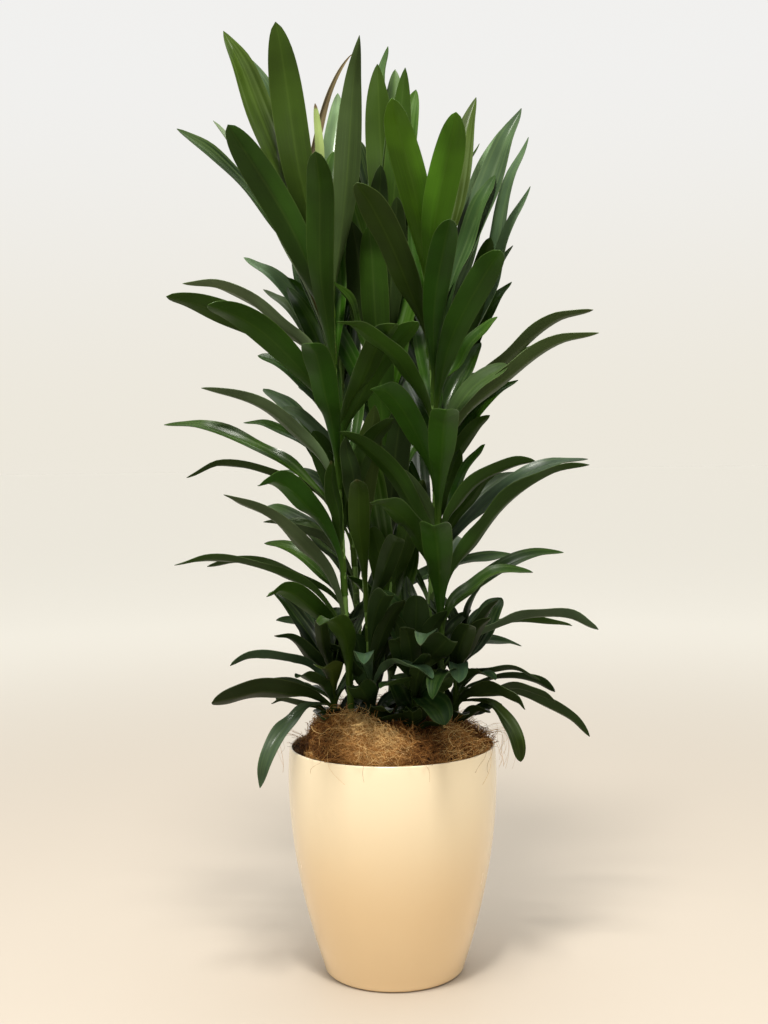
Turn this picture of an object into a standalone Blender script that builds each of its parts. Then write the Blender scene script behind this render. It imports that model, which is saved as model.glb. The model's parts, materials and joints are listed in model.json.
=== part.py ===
"""A potted dracaena: leafy green canes in a tapered round pot, under a mound of coconut fibre.

Metres, +Z up. The origin is the middle of the pot's foot, on the ground, and -Y is the front.
"""
import math
from collections import namedtuple

import bmesh
import bpy
import numpy as np
from mathutils import Vector
from mathutils.bvhtree import BVHTree

# Driving dimensions
POT_HEIGHT = 0.385
POT_WIDEST = 0.1795          # outer radius, a little under the lip
WIDEST_AT = 0.335
POT_FOOT = 0.118             # outer radius that the tapering side comes down to
FOOT_ROUND = 0.008
FLOOR_RADIUS = 0.110         # inside, where the flat floor starts
POT_WALL = 0.0045
LIP_ROUND = 0.001
GAP = 0.0003                 # between neighbouring pieces
SOIL_TOP = 0.350
COIR_TOP = 0.420
COIR_REACH = 0.172
CANE_FOOT = 0.280            # how deep the canes stand in the soil
CANE_RADIUS = 0.0055
SHOOT_RADIUS = 0.0045
CANE_STEP = 0.24             # a cane bends at points this far apart
HOLE_TOP = 0.52              # over the coconut fibre's highest lump
EYE_DISTANCE = 2.29          # the front view is seen from here, level with EYE_HEIGHT
EYE_HEIGHT = 0.88
BLADE_THICKNESS = 0.0024
BLADE_CLEARANCE = 0.0010
LEVEL_LIE = 2.1               # how far an arching blade lies level rather than facing front
TURNED_LIE = 0.8              # the same for one that has a facing
TWIST_SHARE = 0.45            # a blade has turned to its facing this far along
GUTTER = 0.14                 # how high the edges stand over the midrib, by half width

TURNED_STEPS = 36
SIDE_HEIGHTS = (0.345, 0.290, 0.230, 0.170, 0.110, 0.055)
COIR_RINGS = (0.0, 0.030, 0.055, 0.080, 0.104, 0.126, 0.144, 0.156, 0.164)
COIR_LUMPS = 34
STATIONS = (0.0, 0.11, 0.33, 0.62, 0.88, 1.0)    # where a blade's rings lie along its midrib
CLASP = 4                    # a blade's first points, that sit in its cane
FOREIGN = 1000               # how much worse it is to cross another stem than its own
GOLDEN_ANGLE = math.radians(137.5)
UP = Vector((0, 0, 1))

# foot and top are (x, y); the cane leans from one to the other and sways by sway on the way
Stem = namedtuple("Stem", "name foot top top_z radius sway leaves rule")
# tip x and z as the front view shows them at the pot's own distance, depth the tip's real y,
# root the height on the cane, bow the arch, facing the compass turn of an upright blade's face
Leaf = namedtuple("Leaf", "x z depth root width bow facing", defaults=(0.05, None))
# leaves that follow the spiral: how many, between which roots, how long, how steep
Rule = namedtuple("Rule", "count root_low root_high length lift_low lift_high seed")

FRONT_LEFT = [
    Leaf(-0.187, 1.635, -0.14, 1.15, 0.053, 0.02, 8),
    Leaf(-0.277, 1.620, -0.06, 1.17, 0.046, 0.02, 48),
    Leaf(-0.236, 1.575, 0.05, 1.12, 0.040, 0.02, 55),
    Leaf(-0.272, 1.458, -0.24, 1.07, 0.047, 0.10, 18),
    Leaf(-0.121, 1.410, -0.25, 1.02, 0.041, 0.08, -6),
    Leaf(-0.360, 1.452, -0.14, 1.11, 0.044, 0.13, 60),
    Leaf(-0.296, 1.465, 0.08, 1.05, 0.040, 0.08, 60),
    Leaf(-0.212, 1.400, 0.03, 1.00, 0.034, 0.06, 70),
    Leaf(-0.189, 1.430, 0.10, 1.03, 0.036, 0.04, 60),
    Leaf(-0.120, 1.493, -0.04, 1.21, 0.016, 0.00, 20),
    Leaf(-0.051, 1.580, 0.05, 1.09, 0.036, 0.15, 80),
    Leaf(-0.080, 1.510, 0.00, 1.19, 0.034, 0.02, 60),
    Leaf(-0.042, 1.610, -0.02, 1.13, 0.048, 0.02, 25),
    Leaf(-0.353, 1.184, -0.05, 0.97, 0.035, 0.27),
    Leaf(-0.382, 1.162, -0.18, 0.95, 0.042, 0.25, 10),
    Leaf(-0.310, 1.147, -0.26, 0.92, 0.047, 0.25, 10),
    Leaf(-0.136, 1.078, -0.31, 0.86, 0.043, 0.20, -10),
    Leaf(0.013, 1.110, -0.30, 0.91, 0.041, 0.18, 15),
    Leaf(0.053, 1.113, -0.22, 0.89, 0.042, 0.15, 10),
    Leaf(-0.323, 1.003, -0.08, 0.80, 0.036, 0.30),
    Leaf(-0.388, 0.940, -0.04, 0.76, 0.036, 0.30),
    Leaf(-0.225, 0.834, -0.28, 0.68, 0.042, 0.36, 0),
    Leaf(-0.100, 0.875, -0.12, 0.72, 0.030, 0.10, 50),
    Leaf(-0.287, 0.818, -0.17, 0.61, 0.034, 0.20),
    Leaf(-0.217, 0.733, -0.07, 0.62, 0.036, 0.25),
    Leaf(-0.373, 0.697, -0.06, 0.585, 0.036, 0.32),
    Leaf(-0.215, 0.641, -0.25, 0.53, 0.038, 0.33, 0),
    Leaf(-0.124, 0.590, -0.27, 0.49, 0.039, 0.36, 0),
]
FRONT_RIGHT = [
    Leaf(0.012, 1.500, -0.24, 1.14, 0.047, 0.06, 8),
    Leaf(0.123, 1.475, -0.26, 1.12, 0.048, 0.06, -8),
    Leaf(0.159, 1.500, 0.00, 1.16, 0.040, 0.02, 60),
    Leaf(0.237, 1.480, -0.03, 1.09, 0.046, 0.05, -58),
    Leaf(0.190, 1.365, -0.06, 1.03, 0.034, 0.05, -60),
    Leaf(-0.051, 1.355, -0.28, 1.06, 0.047, 0.08, -12),
    Leaf(0.109, 1.290, -0.32, 1.00, 0.040, 0.12, 0),
    Leaf(0.196, 1.235, -0.28, 0.95, 0.040, 0.12, -12),
    Leaf(0.191, 1.120, -0.04, 0.975, 0.036, 0.08, -50),
    Leaf(-0.087, 1.115, -0.27, 0.93, 0.038, 0.15, -25),
    Leaf(0.366, 1.090, -0.08, 0.86, 0.040, 0.25),
    Leaf(0.209, 1.036, -0.07, 0.89, 0.042, 0.25, -45),
    Leaf(-0.030, 0.998, -0.28, 0.80, 0.044, 0.36, 0),
    Leaf(0.100, 0.960, -0.33, 0.77, 0.045, 0.22, 0),
    Leaf(0.167, 0.900, -0.05, 0.75, 0.030, 0.05, -60),
    Leaf(-0.005, 0.857, -0.06, 0.71, 0.044, 0.20, -20),
    Leaf(0.253, 0.870, -0.06, 0.73, 0.038, 0.30),
    Leaf(-0.031, 0.802, -0.28, 0.64, 0.039, 0.28, -10),
    Leaf(0.074, 0.760, -0.31, 0.59, 0.046, 0.25, 0),
    Leaf(0.347, 0.862, -0.06, 0.61, 0.044, 0.32),
    Leaf(0.247, 0.677, -0.05, 0.57, 0.036, 0.42),
    Leaf(0.359, 0.577, -0.07, 0.52, 0.038, 0.36),
    Leaf(0.050, 0.553, -0.23, 0.53, 0.034, 0.32),
]
MIDDLE = [
    Leaf(0.008, 1.590, 0.10, 1.18, 0.036, 0.02, -60),
    Leaf(-0.011, 1.560, 0.05, 1.21, 0.046, 0.02, 12),
    Leaf(0.020, 1.550, 0.13, 1.16, 0.040, 0.02, 40),
    Leaf(0.037, 1.553, 0.07, 1.14, 0.042, 0.02, -30),
    Leaf(-0.075, 1.380, 0.03, 1.08, 0.046, 0.04, 20),
    Leaf(-0.046, 1.430, 0.09, 1.12, 0.040, 0.04, 30),
    Leaf(-0.008, 1.385, -0.02, 1.06, 0.040, 0.03, 10),
    Leaf(0.020, 1.330, -0.03, 1.02, 0.042, 0.03, -10),
    Leaf(-0.060, 1.290, -0.03, 0.99, 0.056, 0.04, 0),
    Leaf(-0.030, 1.280, 0.02, 0.96, 0.050, 0.04, -8),
    Leaf(-0.093, 1.185, -0.04, 0.95, 0.034, 0.10, 55),
    Leaf(0.050, 1.190, 0.02, 0.92, 0.044, 0.05, -20),
    Leaf(-0.010, 1.110, 0.00, 0.86, 0.048, 0.05, 5),
    Leaf(0.025, 0.970, 0.00, 0.70, 0.052, 0.08, 0),
    Leaf(0.060, 0.840, 0.00, 0.62, 0.040, 0.10, -20),
    Leaf(-0.030, 0.760, 0.00, 0.54, 0.040, 0.15, 15),
    Leaf(-0.074, 0.675, -0.06, 0.55, 0.030, 0.10, -40),
    Leaf(-0.045, 0.900, 0.02, 0.64, 0.046, 0.06, 15),
    Leaf(0.045, 0.730, 0.01, 0.52, 0.044, 0.10, -10),
    Leaf(-0.020, 0.830, 0.07, 0.58, 0.044, 0.08, 0),
    Leaf(0.010, 0.640, 0.03, 0.48, 0.042, 0.10, 0),
]
BACK_LEFT = [
    Leaf(-0.246, 1.228, 0.09, 0.98, 0.036, 0.15),
    Leaf(-0.213, 1.172, 0.07, 0.97, 0.032, 0.20),
    Leaf(-0.182, 1.375, 0.04, 1.02, 0.036, 0.05, 50),
    Leaf(-0.224, 1.058, 0.09, 0.90, 0.040, 0.22),
    Leaf(-0.183, 0.967, 0.07, 0.83, 0.032, 0.20),
    Leaf(-0.250, 0.942, 0.09, 0.80, 0.032, 0.28),
    Leaf(-0.130, 0.927, 0.05, 0.72, 0.046, 0.08, 10),
    Leaf(-0.350, 0.848, 0.05, 0.73, 0.032, 0.36),
    Leaf(-0.218, 0.770, 0.02, 0.66, 0.032, 0.25),
    Leaf(-0.173, 0.774, 0.08, 0.64, 0.032, 0.20),
    Leaf(-0.316, 0.694, 0.05, 0.58, 0.034, 0.28),
    Leaf(-0.198, 0.600, 0.09, 0.50, 0.034, 0.30),
]
BACK_RIGHT = [
    Leaf(0.164, 1.420, 0.08, 1.09, 0.030, 0.08, -78),
    Leaf(0.203, 1.445, 0.05, 1.06, 0.042, 0.05, -48),
    Leaf(0.249, 1.430, 0.06, 1.02, 0.040, 0.08, -65),
    Leaf(0.251, 1.345, 0.01, 1.00, 0.032, 0.10, -72),
    Leaf(0.181, 1.258, 0.01, 0.96, 0.040, 0.05, -20),
    Leaf(0.220, 1.243, 0.11, 0.97, 0.034, 0.08, -50),
    Leaf(0.217, 1.180, 0.06, 0.93, 0.032, 0.10),
    Leaf(0.357, 1.130, -0.01, 0.89, 0.035, 0.26),
    Leaf(0.290, 1.076, 0.05, 0.86, 0.034, 0.22),
    Leaf(0.226, 1.010, 0.09, 0.83, 0.032, 0.22),
    Leaf(0.176, 0.950, 0.03, 0.79, 0.032, 0.18),
    Leaf(0.124, 0.893, 0.04, 0.74, 0.034, 0.05, -35),
    Leaf(0.185, 0.850, 0.00, 0.70, 0.030, 0.08),
    Leaf(0.345, 0.872, 0.06, 0.65, 0.036, 0.30),
    Leaf(0.314, 0.584, 0.04, 0.50, 0.038, 0.30),
    Leaf(0.226, 0.550, 0.09, 0.49, 0.032, 0.30),
]
SHORT = [
    Leaf(-0.023, 0.970, -0.06, 0.71, 0.048, 0.04, 0),
    Leaf(-0.057, 0.842, -0.26, 0.65, 0.035, 0.18, -8),
    Leaf(-0.075, 0.915, -0.06, 0.72, 0.034, 0.04, 30),
    Leaf(0.015, 0.740, -0.20, 0.60, 0.034, 0.20, -20),
    Leaf(-0.005, 0.640, -0.22, 0.53, 0.034, 0.28, -10),
    Leaf(-0.048, 0.522, -0.22, 0.49, 0.034, 0.30),
    Leaf(0.070, 0.495, -0.21, 0.48, 0.032, 0.34),
    Leaf(-0.062, 0.575, -0.10, 0.450, 0.044, 0.10, 10),
    Leaf(-0.030, 0.600, 0.00, 0.470, 0.044, 0.06, 0),
    Leaf(-0.062, 0.480, -0.13, 0.442, 0.046, 0.20, 10),
]
MIDDLE_SHOOT = [
    Leaf(0.104, 0.560, -0.13, 0.500, 0.048, 0.12, -15),
    Leaf(-0.010, 0.650, -0.04, 0.500, 0.048, 0.06, 10),
    Leaf(0.045, 0.640, -0.05, 0.505, 0.046, 0.05, -10),
    Leaf(0.008, 0.565, -0.20, 0.485, 0.040, 0.22, 10),
    Leaf(0.062, 0.530, -0.17, 0.475, 0.038, 0.30),
    Leaf(-0.020, 0.480, -0.16, 0.468, 0.036, 0.30),
    Leaf(0.092, 0.415, -0.17, 0.462, 0.048, 0.38, 0),
    Leaf(0.000, 0.500, -0.13, 0.440, 0.050, 0.20, 5),
    Leaf(0.048, 0.480, -0.14, 0.438, 0.050, 0.25, -10),
    Leaf(0.105, 0.500, -0.12, 0.442, 0.046, 0.22, -20),
]
LEFT_SHOOT = [
    Leaf(-0.202, 0.573, -0.05, 0.475, 0.036, 0.30),
    Leaf(-0.279, 0.522, -0.08, 0.470, 0.036, 0.40),
    Leaf(-0.293, 0.465, 0.03, 0.465, 0.032, 0.25),
    Leaf(-0.198, 0.460, 0.10, 0.460, 0.028, 0.30),
    Leaf(-0.312, 0.458, -0.17, 0.452, 0.052, 0.15, 0),
    Leaf(-0.230, 0.310, -0.16, 0.456, 0.038, 0.45),
    Leaf(-0.120, 0.515, -0.20, 0.470, 0.042, 0.22, 0),
    Leaf(-0.110, 0.600, -0.02, 0.480, 0.034, 0.06, 20),
    Leaf(-0.165, 0.500, -0.13, 0.455, 0.036, 0.25),
]
RIGHT_SHOOT = [
    Leaf(0.135, 0.588, -0.15, 0.490, 0.038, 0.10, -15),
    Leaf(0.150, 0.507, -0.13, 0.490, 0.032, 0.30),
    Leaf(0.116, 0.488, -0.23, 0.485, 0.032, 0.36),
    Leaf(0.257, 0.490, -0.07, 0.465, 0.032, 0.42),
    Leaf(0.180, 0.492, -0.11, 0.475, 0.032, 0.30),
    Leaf(0.283, 0.470, 0.05, 0.470, 0.032, 0.26),
    Leaf(0.283, 0.452, -0.03, 0.455, 0.032, 0.26),
    Leaf(0.342, 0.392, 0.01, 0.462, 0.032, 0.28),
    Leaf(0.230, 0.440, -0.12, 0.450, 0.046, 0.28, 0),
    Leaf(0.222, 0.350, -0.06, 0.458, 0.032, 0.50),
    Leaf(0.070, 0.460, -0.15, 0.480, 0.034, 0.30),
]
STEMS = [
    Stem("stem_front_left", (-0.060, -0.050), (-0.097, -0.045), 1.24, CANE_RADIUS, -0.004,
         FRONT_LEFT, Rule(5, 0.62, 1.16, 0.34, 50, 75, 1)),
    Stem("stem_front_right", (0.083, -0.050), (0.070, -0.050), 1.22, CANE_RADIUS, 0.006,
         FRONT_RIGHT, Rule(5, 0.62, 1.12, 0.34, 50, 75, 2)),
    Stem("stem_middle", (0.000, 0.030), (-0.012, 0.045), 1.27, CANE_RADIUS, 0.004,
         MIDDLE, Rule(12, 0.60, 1.20, 0.40, 30, 76, 3)),
    Stem("stem_back_left", (-0.045, 0.055), (-0.085, 0.075), 1.08, CANE_RADIUS, 0.003,
         BACK_LEFT, Rule(15, 0.52, 1.05, 0.38, 20, 74, 4)),
    Stem("stem_back_right", (0.055, 0.055), (0.105, 0.065), 1.12, CANE_RADIUS, -0.004,
         BACK_RIGHT, Rule(15, 0.52, 1.09, 0.38, 20, 74, 5)),
    Stem("stem_short", (-0.028, -0.028), (-0.050, -0.035), 0.80, SHOOT_RADIUS, 0.002,
         SHORT, Rule(0, 0.5, 0.7, 0.2, 40, 60, 6)),
    Stem("shoot_middle", (0.035, -0.055), (0.040, -0.060), 0.53, SHOOT_RADIUS, 0.0,
         MIDDLE_SHOOT, Rule(3, 0.450, 0.500, 0.16, 20, 50, 9)),
    Stem("shoot_left", (-0.095, -0.015), (-0.100, -0.025), 0.50, SHOOT_RADIUS, 0.0,
         LEFT_SHOOT, Rule(4, 0.450, 0.490, 0.20, 20, 50, 7)),
    Stem("shoot_right", (0.105, -0.010), (0.112, -0.020), 0.52, SHOOT_RADIUS, 0.0,
         RIGHT_SHOOT, Rule(4, 0.450, 0.510, 0.20, 20, 50, 8)),
]


def empty_scene():
    for thing in list(bpy.data.objects):
        bpy.data.objects.remove(thing, do_unlink=True)


def collection(name):
    made = bpy.data.collections.new(name)
    bpy.context.scene.collection.children.link(made)
    return made


def material(name, colour, roughness, metallic=0.0):
    made = bpy.data.materials.new(name)
    made.use_nodes = True
    shader = made.node_tree.nodes["Principled BSDF"]
    shader.inputs["Base Color"].default_value = (*colour, 1.0)
    shader.inputs["Roughness"].default_value = roughness
    shader.inputs["Metallic"].default_value = metallic
    made.diffuse_color = (*colour, 1.0)
    return made


def add_object(name, mesh, home, finish=None):
    made = bpy.data.objects.new(name, mesh)
    home.objects.link(made)
    if finish is not None:
        mesh.materials.append(finish)
    return made


def turned(name, outline, home, finish):
    """A closed outline of (radius, height) points, top of the outer side first, turned once."""
    mesh = bpy.data.meshes.new(name)
    points = [(radius, 0.0, height) for radius, height in outline]
    edges = [(i, (i + 1) % len(points)) for i in range(len(points))]
    mesh.from_pydata(points, edges, [])
    made = add_object(name, mesh, home, finish)
    screw = made.modifiers.new("Turn", "SCREW")
    screw.steps = TURNED_STEPS
    screw.render_steps = TURNED_STEPS
    screw.use_merge_vertices = True
    screw.merge_threshold = 0.00005
    mend(settle(made))
    return made


def settle(thing):
    """Apply an object's modifiers, so that its mesh can be shaped or cut."""
    graph = bpy.context.evaluated_depsgraph_get()
    mesh = bpy.data.meshes.new_from_object(thing.evaluated_get(graph))
    old = thing.data
    thing.modifiers.clear()
    thing.data = mesh
    bpy.data.meshes.remove(old)
    return mesh


def mend(mesh):
    """Weld doubled points, drop edges and faces with no area and turn the faces outward."""
    work = bmesh.new()
    work.from_mesh(mesh)
    bmesh.ops.remove_doubles(work, verts=work.verts, dist=0.00002)
    bmesh.ops.dissolve_degenerate(work, edges=work.edges, dist=0.00001)
    loose = [edge for edge in work.edges if not edge.link_faces]
    bmesh.ops.delete(work, geom=loose, context="EDGES")
    bmesh.ops.recalc_face_normals(work, faces=work.faces)
    work.to_mesh(mesh)
    work.free()


# Pot

def pot_radius(height):
    """The pot's outer side: widest a little under the lip, easing in to the foot."""
    if height >= WIDEST_AT:
        above = (height - WIDEST_AT) / (POT_HEIGHT - WIDEST_AT)
        return POT_WIDEST - 0.0025 * above ** 2
    below = (WIDEST_AT - height) / WIDEST_AT
    return POT_WIDEST - (POT_WIDEST - POT_FOOT) * below ** 1.9


def pot_inside(height):
    return pot_radius(height) - POT_WALL


def build_pot(home):
    """A thin shell with a rounded lip, a rounded foot and a closed flat floor."""
    heights = (POT_HEIGHT - LIP_ROUND, *SIDE_HEIGHTS, FOOT_ROUND)
    outline = [(pot_radius(POT_HEIGHT) - LIP_ROUND, POT_HEIGHT)]
    outline += [(pot_radius(z), z) for z in heights]
    flat = pot_radius(FOOT_ROUND) - FOOT_ROUND
    for angle in (45, 90):
        turn = math.radians(angle)
        outline.append((flat + FOOT_ROUND * math.cos(turn), FOOT_ROUND * (1 - math.sin(turn))))
    outline += [(0.0, 0.0), (0.0, POT_WALL), (FLOOR_RADIUS, POT_WALL)]
    outline += [(pot_inside(z), z) for z in reversed(SIDE_HEIGHTS)]
    outline.append((pot_inside(POT_HEIGHT - LIP_ROUND), POT_HEIGHT - LIP_ROUND))
    outline.append((pot_inside(POT_HEIGHT) + LIP_ROUND, POT_HEIGHT))
    cream = material("glossy_cream_white", (0.80, 0.72, 0.58), 0.22)
    return turned("pot", outline, home, cream)


# Soil and coconut fibre

def build_soil(home):
    """Potting mix that fills the pot to a flat top, clear of its wall by a hair."""
    slack = 2 * GAP
    floor = POT_WALL + GAP
    outline = [(pot_inside(z) - slack, z) for z in (SOIL_TOP, *SIDE_HEIGHTS)]
    outline += [(FLOOR_RADIUS - slack, floor), (0.0, floor), (0.0, SOIL_TOP)]
    brown = material("potting_soil", (0.055, 0.036, 0.022), 0.95)
    return turned("soil", outline, home, brown)


def coir_lumps():
    """Rounded lumps and dents at random: x, y, how high and how far across."""
    draw = np.random.default_rng(12)
    turn = draw.uniform(0, math.tau, COIR_LUMPS)
    out = 0.155 * np.sqrt(draw.uniform(0, 1, COIR_LUMPS))
    high = draw.uniform(-0.009, 0.013, COIR_LUMPS)
    across = draw.uniform(0.018, 0.034, COIR_LUMPS)
    return np.column_stack([out * np.cos(turn), out * np.sin(turn), high, across])


def coir_height(x, y, lumps):
    """The heap's top: flat with steep sides, a little higher on the left, and lumpy."""
    out = math.hypot(x, y) / COIR_REACH
    far = (lumps[:, 0] - x) ** 2 + (lumps[:, 1] - y) ** 2
    relief = float((lumps[:, 2] * np.exp(-far / lumps[:, 3] ** 2)).sum())
    return COIR_TOP - 0.07 * x - 0.042 * out ** 16 + relief


def build_coir(home):
    """A thick disc over the soil, its top raised by coir_height."""
    base = SOIL_TOP + GAP
    outline = [(radius, COIR_TOP) for radius in COIR_RINGS]
    outline += [(0.1702, 0.376), (COIR_REACH, 0.362), (0.1702, base), (0.0, base)]
    brown = material("coconut_fibre", (0.30, 0.165, 0.070), 0.95)
    made = turned("coir", outline, home, brown)
    lumps = coir_lumps()
    for point in made.data.vertices:
        if point.co.z > COIR_TOP - 0.001:
            point.co.z = coir_height(point.co.x, point.co.y, lumps)
    return made


# Canes

def cane_point(stem, height):
    along = (height - CANE_FOOT) / (stem.top_z - CANE_FOOT)
    sway = stem.sway * math.sin(math.pi * along)
    x = stem.foot[0] + (stem.top[0] - stem.foot[0]) * along + sway
    y = stem.foot[1] + (stem.top[1] - stem.foot[1]) * along
    return Vector((x, y, height))


def cane_mesh(stem, radius, low, high):
    """A tube along the cane between two heights, with its end caps welded on."""
    curve = bpy.data.curves.new(stem.name + "_cane", "CURVE")
    curve.dimensions = "3D"
    curve.bevel_depth = radius
    curve.bevel_resolution = 1
    curve.use_fill_caps = True
    spline = curve.splines.new("POLY")
    count = max(2, round((high - low) / CANE_STEP) + 1)
    spline.points.add(count - 1)
    for index, point in enumerate(spline.points):
        height = low + (high - low) * index / (count - 1)
        point.co = (*cane_point(stem, height), 1.0)
    thing = bpy.data.objects.new(curve.name, curve)
    bpy.context.scene.collection.objects.link(thing)
    graph = bpy.context.evaluated_depsgraph_get()
    mesh = bpy.data.meshes.new_from_object(thing.evaluated_get(graph))
    bpy.data.objects.remove(thing, do_unlink=True)
    bpy.data.curves.remove(curve)
    mend(mesh)
    return mesh


# Leaves

def blade_width(along):
    """Share of the full width: a narrow clasping base, widest past the middle, a blunt tip."""
    if along < 0.62:
        return 0.20 + 0.80 * math.sin(math.pi / 2 * along / 0.62) ** 1.3
    return max(0.0, 1 - ((along - 0.62) / 0.38) ** 3.0) ** 0.65


def tip_point(leaf, depth):
    """Where the tip lies in space, moved out along the front view's line of sight."""
    spread = (EYE_DISTANCE + depth) / EYE_DISTANCE
    return Vector((leaf.x * spread, depth, EYE_HEIGHT + (leaf.z - EYE_HEIGHT) * spread))


def midrib(root, tip, bow):
    """Three control points of the arch from the cane to the tip."""
    chord = tip - root
    rise = UP - chord * (UP.dot(chord) / chord.length_squared)
    if rise.length < 0.05:
        rise = Vector((0, 0.05, 0))
    elbow = root + chord * 0.38 + rise.normalized() * (bow * chord.length)
    return root, elbow, tip


def facing_way(facing):
    """The level way that an upright blade's face looks; one with no facing looks to the front."""
    turn = math.radians(facing or 0)
    return Vector((math.sin(turn), -math.cos(turn), 0))


def grown_side(start, end):
    """The way that a blade's upper side looks as it grows: up, and back to its cane."""
    heading = Vector((end.x - start.x, end.y - start.y, 0))
    heading = heading.normalized() if heading.length > 0.001 else Vector((0, -1, 0))
    return UP - 0.35 * heading


def shown_side(start, end, facing):
    """1 where an upright blade shows its upper side to its facing, -1 where its underside."""
    chord = (end - start).normalized()
    upper = grown_side(start, end)
    across = upper - chord * upper.dot(chord)
    return -1 if facing_way(facing).dot(across) < 0 and chord.z > 0.7 else 1


def blade_normal(tangent, upper, facing, shown, share):
    """The blade's upper side: level blades look up, upright ones turn to their facing."""
    level = Vector((tangent.x, tangent.y, 0)).length
    lie = LEVEL_LIE if facing is None else TURNED_LIE
    normal = upper.lerp(facing_way(facing) * shown + UP * lie * level, share)
    return (normal - tangent * normal.dot(tangent)).normalized()


def blade(root, tip, width, bow, facing, extra=0.0):
    """A thin closed blade: four-sided rings along the midrib, split alike on both faces."""
    start, elbow, end = midrib(root, tip, bow)
    upper = grown_side(start, end)
    shown = shown_side(start, end, facing)
    points = []
    for along in STATIONS[:-1]:
        back = 1 - along
        centre = start * back * back + elbow * 2 * along * back + end * along * along
        tangent = ((elbow - start) * back + (end - elbow) * along).normalized()
        share = min(1.0, along / TWIST_SHARE)
        normal = blade_normal(tangent, upper, facing, shown, share)
        half = 0.5 * width * blade_width(along) + extra
        side = tangent.cross(normal) * half
        lift = normal * (0.5 * BLADE_THICKNESS + extra)
        rise = normal * GUTTER * half
        points += [centre - side + rise, centre + lift, centre + side + rise, centre - lift]
    points.append(end + (end - elbow).normalized() * extra)
    return points, blade_faces(len(points) - 1)


def blade_faces(last):
    """Triangles between the rings, a closed root end and a point at the tip."""
    faces = [(0, 2, 1), (0, 3, 2)]
    for a in range(0, last - 4, 4):
        b = a + 4
        faces += [(a, a + 1, b + 1), (a, b + 1, b), (a + 1, a + 2, b + 1), (a + 2, b + 2, b + 1)]
        faces += [(a, b + 3, a + 3), (a, b, b + 3), (a + 3, b + 3, a + 2), (a + 2, b + 3, b + 2)]
    ring = last - 4
    faces += [(ring + k, ring + (k + 1) % 4, last) for k in range(4)]
    return faces


# Room for every leaf

def tree_of(shape, skip=0):
    """A search tree of a blade's faces, without those that touch its first points."""
    points, faces = shape
    return BVHTree.FromPolygons(points, [face for face in faces if min(face) >= skip])


def box_of(points):
    grid = np.array([tuple(p) for p in points])
    return grid.min(axis=0), grid.max(axis=0)


# tree holds the whole shape, outer a blade without the part that sits in its cane
Placed = namedtuple("Placed", "stem box tree outer")


def apart(box, other):
    return bool((box[0] > other[1]).any() or (box[1] < other[0]).any())


def crossings(stem, shape, swollen, placed):
    """How often a blade would cross other stems, and its own stem's leaves away from the cane."""
    tree = tree_of(swollen)
    outer = tree_of(shape, CLASP)
    box = box_of(swollen[0])
    foreign = 0
    own = 0
    for other in placed:
        if apart(box, other.box):
            continue
        if other.stem != stem.name:
            foreign += len(tree.overlap(other.tree))
        elif other.outer is not None:
            own += len(outer.overlap(other.outer))
    return foreign, own


def bend_clear(stem, choices, placed):
    """The first way to lay a leaf that crosses nothing, else the one that crosses least."""
    best = None
    for root, tip, width, bow, facing in choices:
        shape = blade(root, tip, width, bow, facing)
        swollen = blade(root, tip, width, bow, facing, BLADE_CLEARANCE)
        foreign, own = crossings(stem, shape, swollen, placed)
        score = FOREIGN * foreign + own
        if best is None or score < best[0]:
            best = (score, shape)
        if score == 0:
            break
    return best


def root_point(stem, height, tip):
    """Where a leaf starts: in the cane, on the side that its tip lies."""
    middle = cane_point(stem, height)
    out = Vector((tip.x - middle.x, tip.y - middle.y, 0)).normalized()
    return middle + out * 0.5 * stem.radius


def seen_choices(stem, leaf):
    """The leaf as listed, then nearer or farther along the line of sight."""
    for step in range(25):
        shift = 0.010 * ((step + 1) // 2) * (-1 if step % 2 else 1)
        tip = tip_point(leaf, leaf.depth + shift)
        yield root_point(stem, leaf.root, tip), tip, leaf.width, leaf.bow, leaf.facing


def rule_choices(stem, index, draw):
    """A leaf of the spiral, with small turns, lifts and lengths tried in order."""
    rule = stem.rule
    share = (index + 0.5) / rule.count
    height = rule.root_low + (rule.root_high - rule.root_low) * share
    turn = index * GOLDEN_ANGLE + draw.uniform(-0.25, 0.25)
    turn = math.pi * (0.08 + 0.84 * ((turn / math.tau) % 1.0))
    lift = rule.lift_low + (rule.lift_high - rule.lift_low) * share + draw.uniform(-6, 6)
    length = rule.length * draw.uniform(0.85, 1.1)
    width = 0.036 + 0.010 * share
    for step in range(31):
        side = -1 if step % 2 else 1
        swing = turn + side * 0.09 * ((step + 1) // 2)
        rise = math.radians(lift + 4 * (step % 3))
        reach = length * (1 - 0.02 * (step // 3))
        base = height + 0.004 * (step % 4)
        out = Vector((math.cos(swing) * 0.8, math.sin(swing), 0)) * math.cos(rise)
        tip = cane_point(stem, base) + (out + UP * math.sin(rise)) * reach
        yield root_point(stem, base, tip), tip, width, 0.05 + 0.25 * (1 - share), None


def lay_leaves(still):
    """Every stem's leaves: those that show from the front first, then the spiral behind."""
    placed = list(still)
    laid = {stem.name: [] for stem in STEMS}
    turns = [(stem, seen_choices(stem, leaf)) for stem in STEMS for leaf in stem.leaves]
    for stem in STEMS:
        draw = np.random.default_rng(stem.rule.seed)
        turns += [(stem, rule_choices(stem, index, draw)) for index in range(stem.rule.count)]
    for stem, choices in turns:
        score, shape = bend_clear(stem, choices, placed)
        if score >= FOREIGN:
            continue
        tree = tree_of(shape)
        placed.append(Placed(stem.name, box_of(shape[0]), tree, tree_of(shape, CLASP)))
        laid[stem.name].append(shape)
    return laid


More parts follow.
